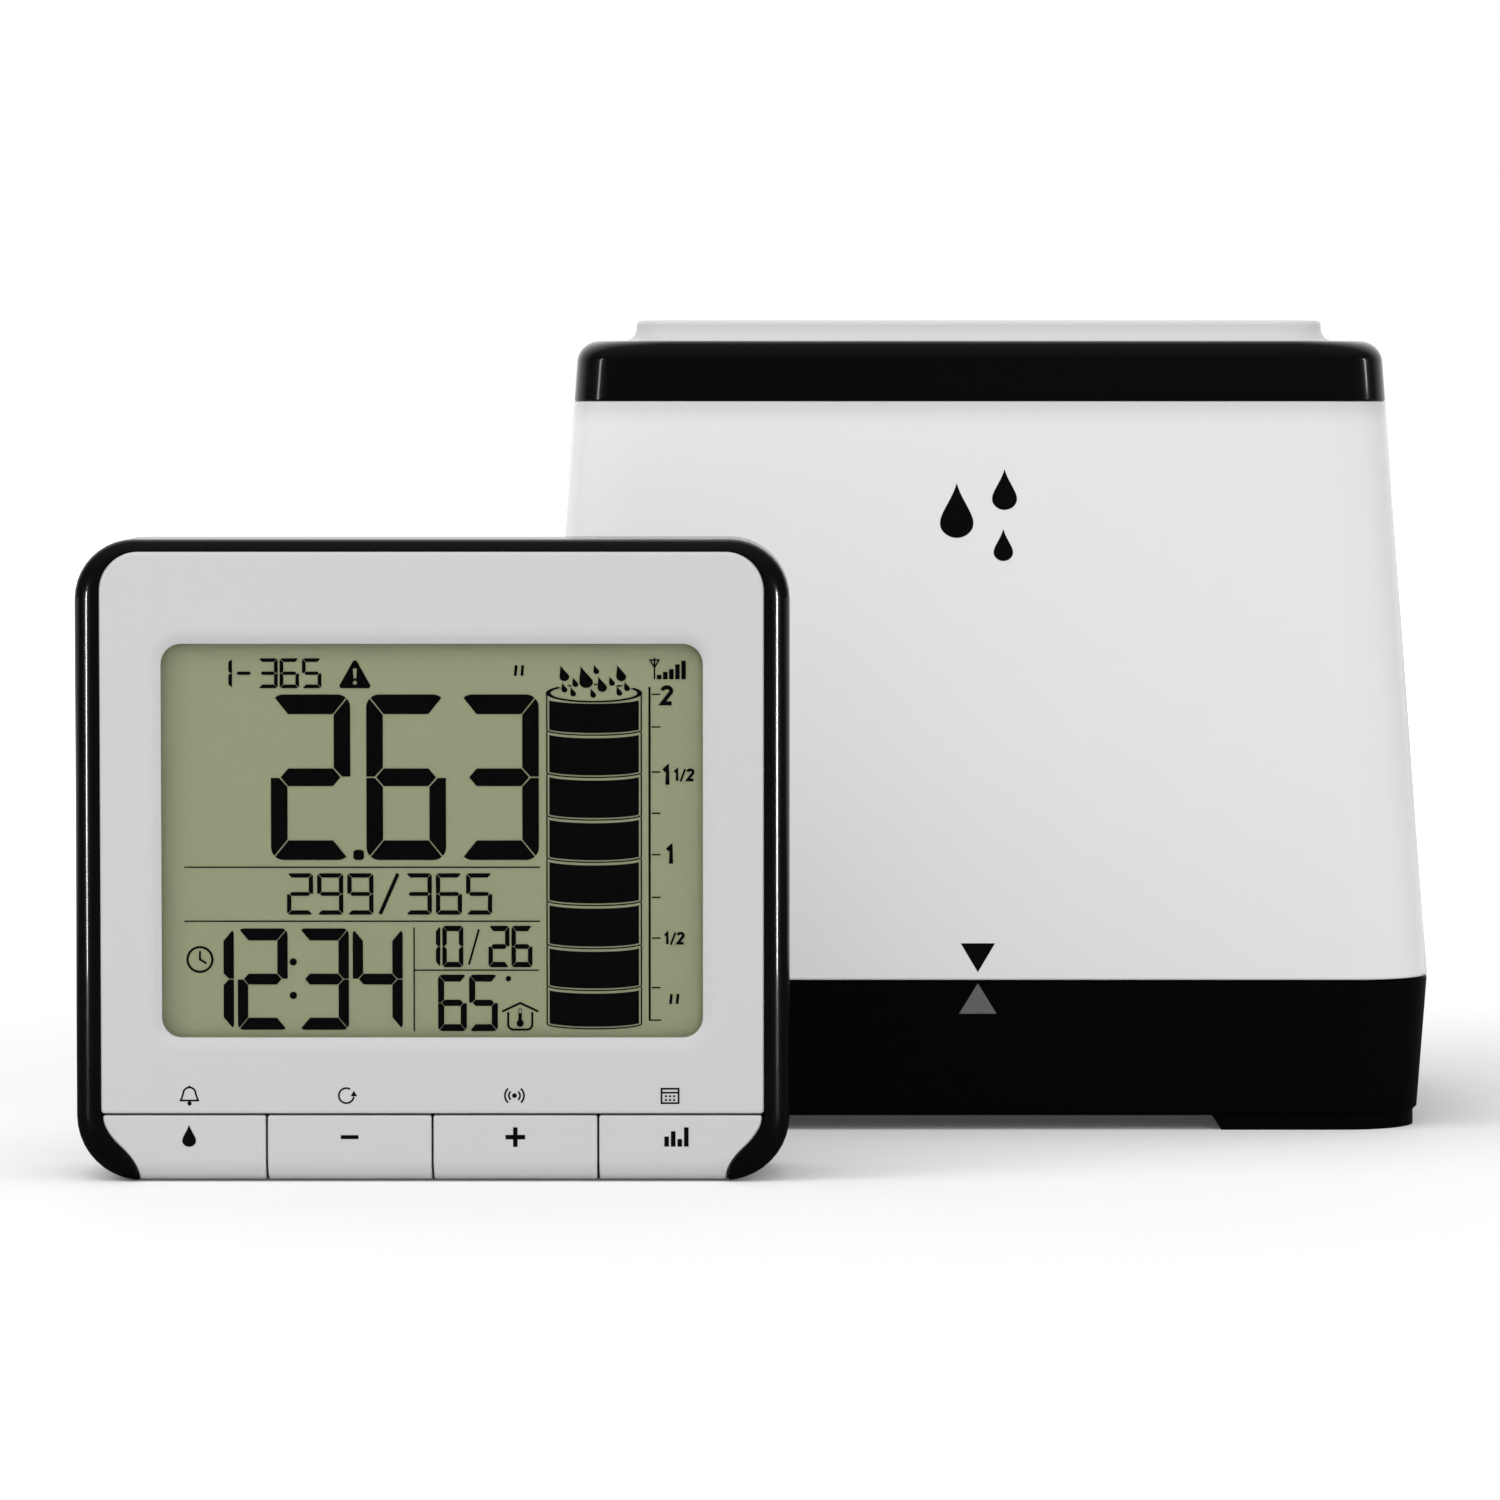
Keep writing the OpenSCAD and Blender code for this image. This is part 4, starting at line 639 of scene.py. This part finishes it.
# Boards and parts inside the console. A green main board lies behind the display, a small blue one
# takes the radio, and a brass sounder sits behind the holes in the case.
blue_board = board_skin("radio_board", (0.012, 0.05, 0.14), (0.04, 0.11, 0.22))
brass = metal("brass", (0.68, 0.48, 0.2), 0.3)
dress("console_board", green_board, 0.08, 1)
dress("console_chip", resin, 0.4)
dress("tact_switches", inner_black, 0.12)
dress("receiver_board", blue_board, 0.06, 1)
dress("receiver_antenna", copper_wire, 0.05, 1)
dress("sounder", brass, 0.3)
dress("temperature_probe", resin, 0.05, 1)
dress("contact_strips", rubber, 0.15)
dress("display_frame", inner_grey, 0.2)
for plunger in ("alert_plunger", "minus_plunger", "plus_plunger", "history_plunger"):
    dress(plunger, inner_black, 0.15)


# Display. The liquid crystal glass has an olive reflector behind it. Dark segments lie just under the
# clear pane in front.
VIEW_W, VIEW_H, VIEW_Y = 82.4, 60.0, 22.1
SHEET = (43.0, 20.3, 83.9)
GLASS_BACK, GLASS_FRONT = -4.4, -2.45


def block(half_w, low, high, corner, z0, z1, ease):
    """A plate with rounded corners and eased edges, as a loft with flat ends."""
    near, far = [(1, 0), (0.3, 0.3), (0, 1)], [(0, 1), (0.3, 0.3), (1, 0)]
    insets = [(ease * i, z0 + ease * j) for i, j in near] + [(ease * i, z1 - ease * j) for i, j in far]
    return lofted(rings([[half_w - i, low + i, high - i, corner - i, corner - i, z] for i, z in insets]))


def reflector_skin(name, colour, edge):
    """Olive reflector, darker towards the left and the upper edge of the opening: a painted shadow of its
    border. Each share falls evenly from 1 at its edge to 0 at a reach of 4.4 and 2.8 millimetres."""
    skin = Finish(name)
    place = skin.node("SeparateXYZ", sockets={"Vector": skin.place()}, out="X")
    height = Wire(skin.tree, place.socket.node.outputs["Z"])
    # Painted shadow of the opening's border: shares that fall away from the left and the upper edge
    left_shadow = skin.node("Clamp", sockets={"Value": 1 - (place / MM - CONSOLE_X + VIEW_W / 2) / 4.4})
    top_shadow = skin.node("Clamp", sockets={"Value": 1 - (VIEW_Y + VIEW_H - height / MM) / 2.8})
    grain = skin.noise(0.25, 2)
    rim = skin.node("Clamp", sockets={"Value": left_shadow + top_shadow * 0.7 + grain * 0.06})
    return skin.surface(
        Base_Color=skin.blend(rim, colour, edge),
        Roughness=0.5 + grain * 0.1,
        Normal=skin.bump(grain, 0.002),
        Specular_IOR_Level=0.2,
    )


# The second colour is the painted shadow along the opening's left and upper edges
reflector = reflector_skin("lcd_reflector", (0.312, 0.325, 0.199), (0.278, 0.293, 0.182))
glass_points, glass_faces = block(*SHEET, 1.8, GLASS_BACK, GLASS_FRONT, 0.15)
glass = solid("crystal_glass", [(on_console(glass_points), glass_faces)], reflector)
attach(glass, "console")
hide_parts("display_glass")


# Segments of the display. Seven-segment figures show rain, time, date and temperature; thin figures
# count the days, and a column of blocks with a scale in inches fills as rain falls.
DIGITS = {
    "0": "abcdef", "1": "bc", "2": "abged", "3": "abgcd", "4": "fgbc", "5": "afgcd", "6": "afgedc",
    "9": "abcdfg", "-": "g"}


def bar(x0, y0, x1, y1):
    """An upright rectangle."""
    return [np.array([(x0, y0), (x1, y0), (x1, y1), (x0, y1)], float)]


def stroke(path, width, closed=False):
    """A line of even width: each point moves out by half the width along the mitre of its two sides."""
    p = np.asarray(path, float)
    along = np.roll(p, -1, 0) - p
    if not closed:
        along[-1] = along[-2]
    before = np.roll(along, 1, 0)
    if not closed:
        before[0] = along[0]
    unit = [v / np.linalg.norm(v, axis=1)[:, None] for v in (before, along)]
    mitre = unit[0] + unit[1]
    mitre = np.stack([-mitre[:, 1], mitre[:, 0]], -1)
    normal = np.stack([-unit[0][:, 1], unit[0][:, 0]], -1)
    mitre *= width / 2 / np.maximum((mitre * normal).sum(1), 0.4)[:, None]
    left, right = p + mitre, p - mitre
    count = len(p) if closed else len(p) - 1
    ahead = (np.arange(count) + 1) % len(p)
    return list(np.stack([right[:count], right[ahead], left[ahead], left[:count]], 1))


def figure(sign, x, y, w, h, across, upright, gap, corner):
    """One seven-segment figure with its lower left corner at (x, y). Its outer corners are arcs, and
    neighbours meet on slanted gaps that run from the inner corner to the middle of the arc. Segments
    are as thick as across where they lie and as upright where they stand."""
    middle, slip, back = h / 2, gap / 2 / corner, gap * 0.6
    turns = ((0.75 * np.pi - slip, 0.5 * np.pi), (np.pi, 0.75 * np.pi + slip))
    crown, flank = (
        np.stack([corner + corner * np.cos(t), h - corner + corner * np.sin(t)], -1)
        for t in (np.linspace(start, stop, 5) for start, stop in turns))
    flip_x, flip_y = (lambda p: p * (-1, 1) + (w, 0)), (lambda p: p * (1, -1) + (0, h))
    top = np.concatenate([
        [(upright + back, h - across)], crown, flip_x(crown[::-1]), [(w - upright - back, h - across)]])
    side = np.concatenate([
        [(0, middle + gap / 2)], flank, [(upright, h - across - back)],
        [(upright, middle + 0.45 * across + back), (upright * 0.5, middle + gap / 2)]])
    half_bar = np.array([(upright * 0.55 + gap / 2, middle), (upright + back, middle + 0.45 * across)])
    upper_bar = np.concatenate([half_bar, flip_x(half_bar[::-1])])
    shapes = {
        "a": top, "b": flip_x(side), "c": flip_x(flip_y(side)),
        "d": flip_y(top), "e": flip_y(side), "f": side,
        "g": np.concatenate([upper_bar, flip_y(upper_bar)[-2:0:-1]])}
    return [shapes[s] + (x, y) for s in DIGITS[sign]]


def figures(signs, places, *sizes):
    """Several figures in a row, one at each place."""
    return [shape for sign, x in zip(signs, places) for shape in figure(sign, x, *sizes)]


def numeral(sign, x, y, h, width):
    """A printed numeral 1, 2 or a slash, drawn with a stroke of that width."""
    a = np.linspace(np.pi * 0.95, -np.pi * 0.25, 12)
    hook = np.stack([0.3 + 0.24 * np.cos(a), 0.73 + 0.2 * np.sin(a)], -1)
    paths = {
        "1": [(0.06, 0.72), (0.26, 0.93), (0.26, 0.0)],
        "2": np.concatenate([hook, [(0.06, 0.07), (0.56, 0.07)]]),
        "/": [(0.0, -0.06), (0.4, 1.02)]}
    return stroke(np.asarray(paths[sign]) * h + (x, y), width)


def inch_sign(x, top, foot):
    """Two short strokes a millimetre apart that lean a little."""
    return [part for at in (x, x + 1.0) for part in stroke([(at, top), (at - 0.15, foot)], 0.42)]


def pip(x, y, r, steps=24):
    """A round dot."""
    a = np.linspace(0, 2 * np.pi, steps, endpoint=False)
    return [np.stack([x + r * np.cos(a), y + r * np.sin(a)], -1)]


def arc_line(x, y, r, start, stop, steps):
    """Points on an arc about (x, y), from start to stop in degrees."""
    a = np.radians(np.linspace(start, stop, steps))
    return np.stack([x + r * np.cos(a), y + r * np.sin(a)], -1)


# The large figures with their point, the count of days above them and two smaller numbers below
marks = figures("263", [16.6, 31.15, 45.3], 27.0, 12.12, 25.25, 3.0, 2.53, 0.2, 1.95)
marks += [np.concatenate([
    arc_line(29.94 + sx, 27.78 + sy, 0.5, start, start + 90, 5)
    for sx, sy, start in ((0.32, 0.28, 0), (-0.32, 0.28, 90), (-0.32, -0.28, 180), (0.32, -0.28, 270))])]
marks += figures("1-365", [7.8, 11.05, 14.75, 18.0, 21.4], 53.2, 2.95, 4.56, 0.56, 0.56, 0.09, 0.42)
marks += figures("299", [19.0, 23.6, 28.2], 18.65, 3.98, 6.33, 0.66, 0.66, 0.1, 0.5)
marks += stroke([(33.2, 18.75), (35.9, 24.9)], 0.56)
marks += figures("365", [37.1, 41.7, 46.3], 18.65, 3.98, 6.33, 0.66, 0.66, 0.1, 0.5)

# Thin lines between the fields, then the clock, the date and the figures beside them
for low in (25.8, 17.55):
    marks += bar(3.33, low, 57.55, low + 0.2)
marks += bar(38.26, 0.8, 38.46, 16.7) + bar(38.46, 10.07, 57.4, 10.27)
marks += figures("1234", [3.25, 11.45, 20.79, 28.99], 1.05, 7.62, 15.5, 1.84, 1.58, 0.13, 0.95)
marks += pip(19.92, 11.43, 0.56) + pip(19.92, 6.3, 0.56)
marks += figures("1026", [39.16, 42.66, 49.7, 53.2], 10.61, 3.2, 6.34, 0.82, 0.68, 0.08, 0.5)
marks += stroke([(46.71, 11.01), (48.25, 16.41)], 0.3)
marks += figures("65", [42.0, 46.73], 0.84, 4.38, 8.64, 1.06, 0.93, 0.09, 0.7)
marks += pip(52.73, 8.87, 0.41)

# Pictograms: a house with a thermometer, a clock, a warning triangle in two halves and an inch sign
marks += stroke([(51.76, 3.83), (54.55, 5.14), (57.3, 3.83)], 0.32)
left_wall, right_wall = arc_line(53.48, 1.87, 0.8, 180, 270, 7), arc_line(55.55, 1.87, 0.8, 270, 360, 7)
marks += stroke(np.concatenate([[(52.68, 3.75)], left_wall, right_wall, [(56.35, 3.75)]]), 0.32)
marks += pip(54.51, 2.04, 0.55) + bar(54.24, 2.3, 54.78, 3.57)
marks += stroke(np.concatenate([[(54.29, 3.5)], arc_line(54.51, 4.1, 0.22, 180, 0, 7), [(54.73, 3.5)]]), 0.1)
clock_rim = pip(5.7, 11.8, 1.9, 28)[0]
marks += stroke(clock_rim, 0.34, closed=True) + stroke([(5.7, 13.1), (5.7, 11.8), (6.7, 11.2)], 0.3)
half = np.array([
    (0, 4.25), (0, 3.0), (-0.3, 3.0), (-0.2, 1.5), (0, 1.5), (0, 1.15), (-0.3, 0.95), (-0.3, 0.7),
    (0, 0.5), (0, 0), (-2.15, 0), (-2.4, 0.35), (-0.25, 4.2)])
marks += [half + (29.45, 53.2), half * (-1, 1) + (29.45, 53.2)] + inch_sign(54.0, 56.7, 55.1)

# The column: blocks with curved top and bottom between thin sides, and a brim broken by falling drops
COLUMN_X, COLUMN_HALF = 65.83, 7.29
BRIM_Y, BRIM_RISE, LEVEL_RISE = 52.46, 1.45, 0.82
SIDE = 0.1
levels = np.array([51.5, 45.2, 38.75, 32.25, 25.8, 19.2, 12.6, 6.2, 0.35])


def sag(x):
    """The curve of a level across the column: an ellipse arc, 0 in the middle and highest at the sides."""
    return LEVEL_RISE * (1 - np.sqrt(np.clip(1 - (x / (COLUMN_HALF + 0.05)) ** 2, 0, 1)))


across = np.linspace(-1, 1, 25)
for index in range(8):
    upper, lower = levels[index], levels[index + 1] + 0.85
    inner = across * (COLUMN_HALF - 0.47)
    top_curve = np.stack([COLUMN_X + inner, (upper + 0.37 if index else 50.83) + sag(inner)], -1)
    low_curve = np.stack([COLUMN_X + inner, lower + 0.31 + sag(inner)], -1)
    marks.append(np.concatenate([low_curve, top_curve[::-1]]))
    line = across * (COLUMN_HALF - SIDE)
    marks += stroke(np.stack([COLUMN_X + line, lower + sag(line)], -1), 0.19)
    for side in (-1, 1):
        x = COLUMN_X + side * (COLUMN_HALF - SIDE)
        marks += bar(x - SIDE, lower + 0.7, x + SIDE, upper + 1.36 if index else BRIM_Y)
drops = np.array([
    (61.34, 55.08, 2.32), (64.65, 54.36, 3.25), (66.2, 55.84, 1.4), (67.1, 53.44, 2.26), (69.99, 55.1, 2.38),
    (63.0, 53.88, 1.4), (68.57, 54.04, 1.4), (61.34, 53.05, 1.4), (62.67, 52.44, 1.4), (65.72, 52.24, 1.4),
    (69.7, 52.53, 1.4), (70.86, 53.25, 1.4)])
for x, y, size in drops:
    marks += drop(x, y, size, -0.4)
turn = np.linspace(0, 2 * np.pi, 97)
outer = np.stack([COLUMN_X + (COLUMN_HALF + 0.05) * np.cos(turn), BRIM_Y + BRIM_RISE * np.sin(turn)], -1)
inner = np.stack([COLUMN_X + 6.6 * np.cos(turn), BRIM_Y + 1.19 * np.sin(turn)], -1)
brim = np.stack([outer[:-1], outer[1:], inner[1:], inner[:-1]], 1)
clear = np.linalg.norm(brim.mean(1)[:, None] - drops[:, :2], axis=2) > drops[:, 2] / 2.9 + 0.3
marks += list(brim[clear.all(1)])

# The scale beside the column: its upright, its steps and its numerals in whole and half inches
marks += bar(74.12, 2.42, 74.44, 53.4) + bar(74.44, 2.42, 76.05, 2.62)
for y in (52.27, 47.3, 40.44, 34.14, 27.82, 21.3, 15.07, 7.5):
    marks += bar(74.6, y - 0.1, 75.95, y + 0.1)
marks += numeral("2", 76.05, 50.7, 2.85, 0.62)
marks += numeral("1", 76.25, 38.5, 2.9, 0.64) + numeral("1", 76.8, 26.45, 2.85, 0.64)
for x, y in ((78.0, 39.1), (76.5, 14.15)):
    marks += numeral("1", x, y, 1.8, 0.42) + numeral("/", x + 1.0, y, 1.75, 0.3)
    marks += numeral("2", x + 1.95, y, 1.8, 0.42)
marks += inch_sign(77.6, 6.5, 5.0)

# A small aerial with bars of rising height
marks += stroke([(74.35, 57.5), (75.73, 57.5), (75.04, 56.35)], 0.22, closed=True)
marks += bar(74.92, 54.6, 75.16, 57.8)
for i, height in enumerate((0.67, 1.11, 1.53, 2.27, 2.82)):
    marks += bar(75.4 + 0.93 * i, 54.57, 76.1 + 0.93 * i, 54.57 + height)


def on_glass(points):
    """x and y from the lower left corner of the opening, height out of the glass."""
    return on_console(points + (-VIEW_W / 2, VIEW_Y, GLASS_FRONT + 0.01))


segment_ink = ink("segment_ink", (0.0012, 0.0012, 0.0014), 0.5, 0.0)
segments = printed("display_segments", marks, segment_ink, on_glass, thick=0.06)
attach(segments, "console")


# Clear pane over the display. It is a flat sheet of polycarbonate that is held from behind in the
# front panel's opening, so only its reflections show.
def clear_skin(name):
    """Clear sheet: it reflects as much as its surface does at each angle, and lets the rest through."""
    skin = Finish(name)
    shine = 0.02 + 0.98 * skin.node("LayerWeight", out="Facing") ** 5
    smears = skin.noise(12, 3)
    return skin.surface(
        Base_Color=(1.0, 1.0, 1.0),
        Metallic=1.0,
        Roughness=0.03 + smears * 0.04,
        Alpha=shine,
    )


pane_points, pane_faces = block(*SHEET, 3.1, -2.18, -1.21, 0.12)
pane = solid("clear_pane", [(on_console(pane_points), pane_faces)], clear_skin("window"))
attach(pane, "console")
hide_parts("display_window")


# Front panel of the console. It is moulded in light grey with a very fine grain, screwed on from
# behind, and its opening has a sloping border that leads down to the pane.
panel_grey = moulded("panel_grey", (0.573, 0.573, 0.58), 0.4, 0.35, 0.004, mottle=0.008, specular=0.35)
SKIN, SEAT, BACK = 0.05, 1.2, 2.2
SLOPE = 1.5
PANEL_HALF = 50.5


def opening(grow, corner, z):
    """A row of the panel's opening, made larger than the view by grow on every side."""
    return [VIEW_W / 2 + grow, VIEW_Y - grow, VIEW_Y + VIEW_H + grow, corner, corner, z]


panel_edge = [PANEL_HALF, 10.55, 96.1, 0.5, 5.9]
panel_path = eased(
    [panel_edge + [-BACK], panel_edge + [-SKIN], opening(SLOPE, 4.6, -SKIN), opening(0, 3.1, -0.85),
     opening(0, 3.1, -SEAT), opening(1.95, 3.1, -SEAT), opening(1.95, 3.1, -BACK)],
    [0, 0.4, 0.7, 0.15, 0, 0, 0])
panel_points, panel_faces = lofted(rings(panel_path), closed=True)
panel_shells = [(on_console(panel_points), panel_faces)]
screw_bosses = [(s * 44.0, y, 2.6, -11.2) for s in (-1, 1) for y in (14.04, 89.0)]
board_bosses = [(s * 46.6, y, 1.9, -6.5) for s in (-1, 1) for y in (37.1, 67.1)]
for x, y, r, low in screw_bosses + board_bosses:
    boss = rings([[r, -r, r, 0.98 * r, 0.98 * r, z] for z in (low, -1.1)], 6) + (x, y, 0)
    boss_points, boss_faces = lofted(boss)
    panel_shells.append((on_console(boss_points), boss_faces))
panel = solid("front_panel", panel_shells, panel_grey, crisp=24)
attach(panel, "console")
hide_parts("front_fascia")


# Keys of the console. Four hinged caps of the panel's plastic share the lower edge and are rounded
# towards the underside. The outer two run into the black corners along an S-shaped side.
KEY_TOP, KEY_LOW, KEY_DEEP, KEY_ROUND = 10.25, 0.1, 5.6, 3.4
KEY_PITCH, KEY_GAP, SIGN_Y = 25.25, 0.3, 13.3
FLARE_TOP, FLARE_HIGH, FLARE_WIDE = 10.325, 0.92 * 10.4, 5.4


def key_side(y):
    """Half width of the key strip at a height: the panel's less a half cosine as wide as the flare."""
    share = np.clip((FLARE_TOP - y) / FLARE_HIGH, 0, 1)
    return PANEL_HALF - FLARE_WIDE * (1 - np.cos(np.pi * share)) / 2


def key_cap(index, edge=0.35):
    """The section from top to underside is swept from the left to the right side. Towards each end it
    shrinks by edge (1 - sin t) while it moves in by edge (1 - cos t), t over a quarter turn."""
    t = np.linspace(0, np.pi / 2, 10)
    front = np.stack([KEY_LOW + KEY_ROUND * (1 - np.sin(t)), -KEY_ROUND * (1 - np.cos(t)) - SKIN], -1)
    arc = np.linspace(0, np.pi / 2, 5)
    top = np.stack([KEY_TOP - edge * (1 - np.cos(arc)), -edge * (1 - np.sin(arc)) - SKIN], -1)
    face = np.stack([np.linspace(KEY_TOP - edge, KEY_LOW + KEY_ROUND, 12)[1:-1], np.full(10, -SKIN)], -1)
    section = np.concatenate([[(KEY_TOP, -KEY_DEEP)], top, face, front, [(KEY_LOW, -KEY_DEEP)]])
    middle = np.array([(KEY_TOP + KEY_LOW) / 2, -KEY_DEEP / 2 - SKIN])
    toward = np.clip(middle - section, -1, 1)
    height = section[:, 0]
    left = np.maximum((index - 2) * KEY_PITCH + KEY_GAP / 2, KEY_GAP - key_side(height))
    right = np.minimum((index - 1) * KEY_PITCH - KEY_GAP / 2, key_side(height) - KEY_GAP)
    shrink, move = edge * (1 - np.sin(arc)), edge * (1 - np.cos(arc))
    starts = [np.column_stack([left + m, section + toward * s]) for s, m in zip(shrink, move)]
    stops = [np.column_stack([right - m, section + toward * s]) for s, m in zip(shrink[::-1], move[::-1])]
    return lofted(np.stack(starts + stops)[:, ::-1])


def tag(shapes, at):
    """Shapes moved to a place."""
    return [np.asarray(shape) + at for shape in shapes]


def on_face(points):
    """x and y on the console's face, height out of the plastic up to the rim's plane."""
    return on_console(points + (0, 0, -SKIN))


key_marks = {
    "alert": drop(0, -0.35, 3.3),
    "minus": bar(-1.35, -0.3, 1.35, 0.3),
    "plus": bar(-1.5, -0.34, 1.5, 0.34) + bar(-0.34, -1.5, 0.34, -0.34) + bar(-0.34, 0.34, 0.34, 1.5),
    "history": [q for x, top in ((-1.75, 0.1), (-0.75, 0.9), (0.25, -0.3), (1.25, 1.5))
                for q in bar(x, -1.45, x + 0.7, top)],
}
mark_x = [(step - 1.5) * KEY_PITCH + aside for step, aside in enumerate((0.8, 0, 0, -0.8))]
for index, (key, shapes) in enumerate(key_marks.items()):
    cap_points, cap_faces = key_cap(index)
    cap = solid(key + "_key_cap", [(on_console(cap_points), cap_faces)], panel_grey, crisp=40)
    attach(cap, key + "_button")
    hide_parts(key + "_key")
    mark = printed(key + "_key_mark", tag(shapes, (mark_x[index], 6.95)), black_ink, on_face)
    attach(mark, key + "_button")

# Signs over the keys, printed on the panel: a bell, a turning arrow, radio waves and a calendar.
FINE = 0.27
bell = stroke(np.concatenate([[(-1.3, -0.75)], arc_line(0, 0.3, 0.95, 180, 0, 14), [(1.3, -0.75)]]), FINE)
bell += bar(-1.5, -0.75 - FINE / 2, 1.5, -0.75 + FINE / 2) + pip(0, -1.2, 0.32) + pip(0, 1.32, 0.2)
turning = stroke(arc_line(0, 0, 1.15, 60, 350, 24), FINE)
turning += [np.array([(0.65, -0.1), (1.65, -0.1), (1.15, 0.75)])]
waves = pip(0, 0, 0.36)
for r in (0.85, 1.45):
    waves += stroke(arc_line(0, 0, r, -48, 48, 12), FINE) + stroke(arc_line(0, 0, r, 132, 228, 12), FINE)
calendar = stroke([(-1.3, -1.15), (1.3, -1.15), (1.3, 1.05), (-1.3, 1.05)], FINE, closed=True)
calendar += bar(-1.3, 0.32, 1.3, 0.58)
calendar += [q for x in (-0.62, 0, 0.62) for y in (-0.68, -0.1)
             for q in bar(x - 0.17, y - 0.15, x + 0.17, y + 0.15)]
signs = [q for shapes, x in ((bell, -37.0), (turning, -13.1), (waves, 12.5), (calendar, 36.2))
         for q in tag(shapes, (x, SIGN_Y))]
panel_signs = printed("panel_signs", signs, black_ink, on_face)
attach(panel_signs, "console")


# Studio. The set stands on a white table in a white room, between soft boxes above, behind, in front
# and at each side. A small lamp lights the cover beside the console, and slim lights that are only
# mirrored draw the bright lines on the black edges, in which the near part of the table is dark.
FAR = 9000.0
floor_skin = Finish("table")
spot = floor_skin.place()
away = floor_skin.node("VectorMath", settings={"operation": "LENGTH"}, sockets={"Vector": spot}, out="Value")
front = floor_skin.node("SeparateXYZ", sockets={"Vector": spot}, out="Y")
seen = floor_skin.node("LightPath", out="Is Camera Ray")
mirrored = Wire(floor_skin.tree, seen.socket.node.outputs["Is Glossy Ray"])
whiter = floor_skin.node("MapRange", settings={"interpolation_type": "SMOOTHSTEP"}, sockets={
    "Value": away, "From Min": 0.15, "From Max": 1.1, "To Min": 0.05, "To Max": 1.0})
dark_end = floor_skin.node("MapRange", sockets={"Value": front, "From Min": 0.5, "From Max": 0.15})
table_white = floor_skin.surface(
    Base_Color=floor_skin.blend(dark_end * mirrored, (0.93, 0.93, 0.93), (0.05, 0.05, 0.05)),
    Roughness=0.9,
    Specular_IOR_Level=0.0,
    Emission_Strength=1.0,
    Emission_Color=floor_skin.blend(whiter * seen, (0.0, 0.0, 0.0), (1.0, 1.0, 1.0)),
)
table_corners = np.array([(-FAR, -FAR, 0), (FAR, -FAR, 0), (FAR, FAR, 0), (-FAR, FAR, 0)])
table = solid("table", [(table_corners, [np.array([[0, 1, 2, 3]])])], table_white, weighted=False)


def lamp(name, place, aim, width, height, power, only=None, mirrored=False):
    """A rectangular light at a place in metres, facing a point. It lights surfaces and is not mirrored
    in them, or else it is only mirrored. One that is given a piece shines on that piece alone."""
    light = bpy.data.objects.new(name, bpy.data.lights.new(name, "AREA"))
    light.data.shape = "RECTANGLE"
    light.data.size, light.data.size_y, light.data.energy = width, height, power
    light.location = place
    gap = np.array(place) - np.array(aim)
    light.rotation_euler = (math.atan2(math.hypot(gap[0], gap[1]), gap[2]), 0, math.atan2(gap[0], -gap[1]))
    light.visible_camera = False
    light.visible_glossy, light.visible_diffuse = mirrored, not mirrored
    if only is not None:
        alone = bpy.data.collections.new(name)
        alone.objects.link(only)
        light.light_linking.receiver_collection = alone
        light.light_linking.blocker_collection = alone
    bpy.context.scene.collection.objects.link(light)


lamp("above", (-0.3, -0.7, 1.4), (0, 0, 0.05), 1.2, 1.0, 5.0)
lamp("behind", (0.0, 1.4, 0.7), (0, 0, 0.05), 1.0, 0.8, 4.0)
lamp("front", (0.7, -2.0, 0.75), (0, 0, 0.06), 1.4, 1.2, 8.2)
lamp("side_left", (-0.95, -0.45, 0.75), (0, 0, 0.06), 0.6, 0.6, 4.0)
lamp("side_right", (1.2, -0.4, 0.3), (0.03, 0, 0.06), 0.5, 0.8, 3.2)
lamp("cover_left", (-0.12, -0.12, 0.08), (-0.12, 0, 0.08), 0.06, 0.1, 0.115, cover)
lamp("collar_line_left", (-1.03, -0.02, 0.35), (-0.03, 0, 0.13), 0.06, 0.2, 0.5, collar, mirrored=True)
lamp("collar_line_right", (1.09, 0.14, 0.35), (0.1, 0, 0.13), 0.06, 0.2, 0.6, collar, mirrored=True)
lamp("rim_line_left", (-0.373, -0.309, 0.062), (-0.105, -0.084, 0.062), 0.02, 0.12, 0.9, case, mirrored=True)
lamp("rim_line_right", (0.26, -0.318, 0.062), (0.0, -0.084, 0.062), 0.02, 0.12, 1.3, case, mirrored=True)

# The room is white to the camera, plain for the light on surfaces and brighter ahead where it is mirrored
world = bpy.data.worlds.new("room")
bpy.context.scene.world = world
room = Finish("room", world)
ray = room.node("LightPath", out="Is Camera Ray")
through = Wire(room.tree, ray.socket.node.outputs["Is Transmission Ray"])
gloss = Wire(room.tree, ray.socket.node.outputs["Is Glossy Ray"])
facing = room.node("TexCoord", out="Generated")
ahead = room.node("SeparateXYZ", sockets={"Vector": facing}, out="Y")
upward = Wire(room.tree, ahead.socket.node.outputs["Z"])
backdrop = room.node("MapRange", sockets={
    "Value": ahead, "From Min": 0.45, "From Max": 0.95, "To Min": 0.05, "To Max": 1.0})
ceiling = room.node("MapRange", sockets={
    "Value": upward, "From Min": 0.4, "From Max": 1.0, "To Min": 0.0, "To Max": 0.2})
plain = 1 - ray - through - gloss
light_level = room.node("Clamp", sockets={
    "Value": ray + through + gloss * (backdrop + ceiling) + plain * 0.61})
glow = room.node("Background", sockets={"Color": (1, 1, 1, 1), "Strength": light_level})
room.node("OutputWorld", sockets={"Surface": glow})

bpy.context.scene.view_settings.view_transform = "Standard"
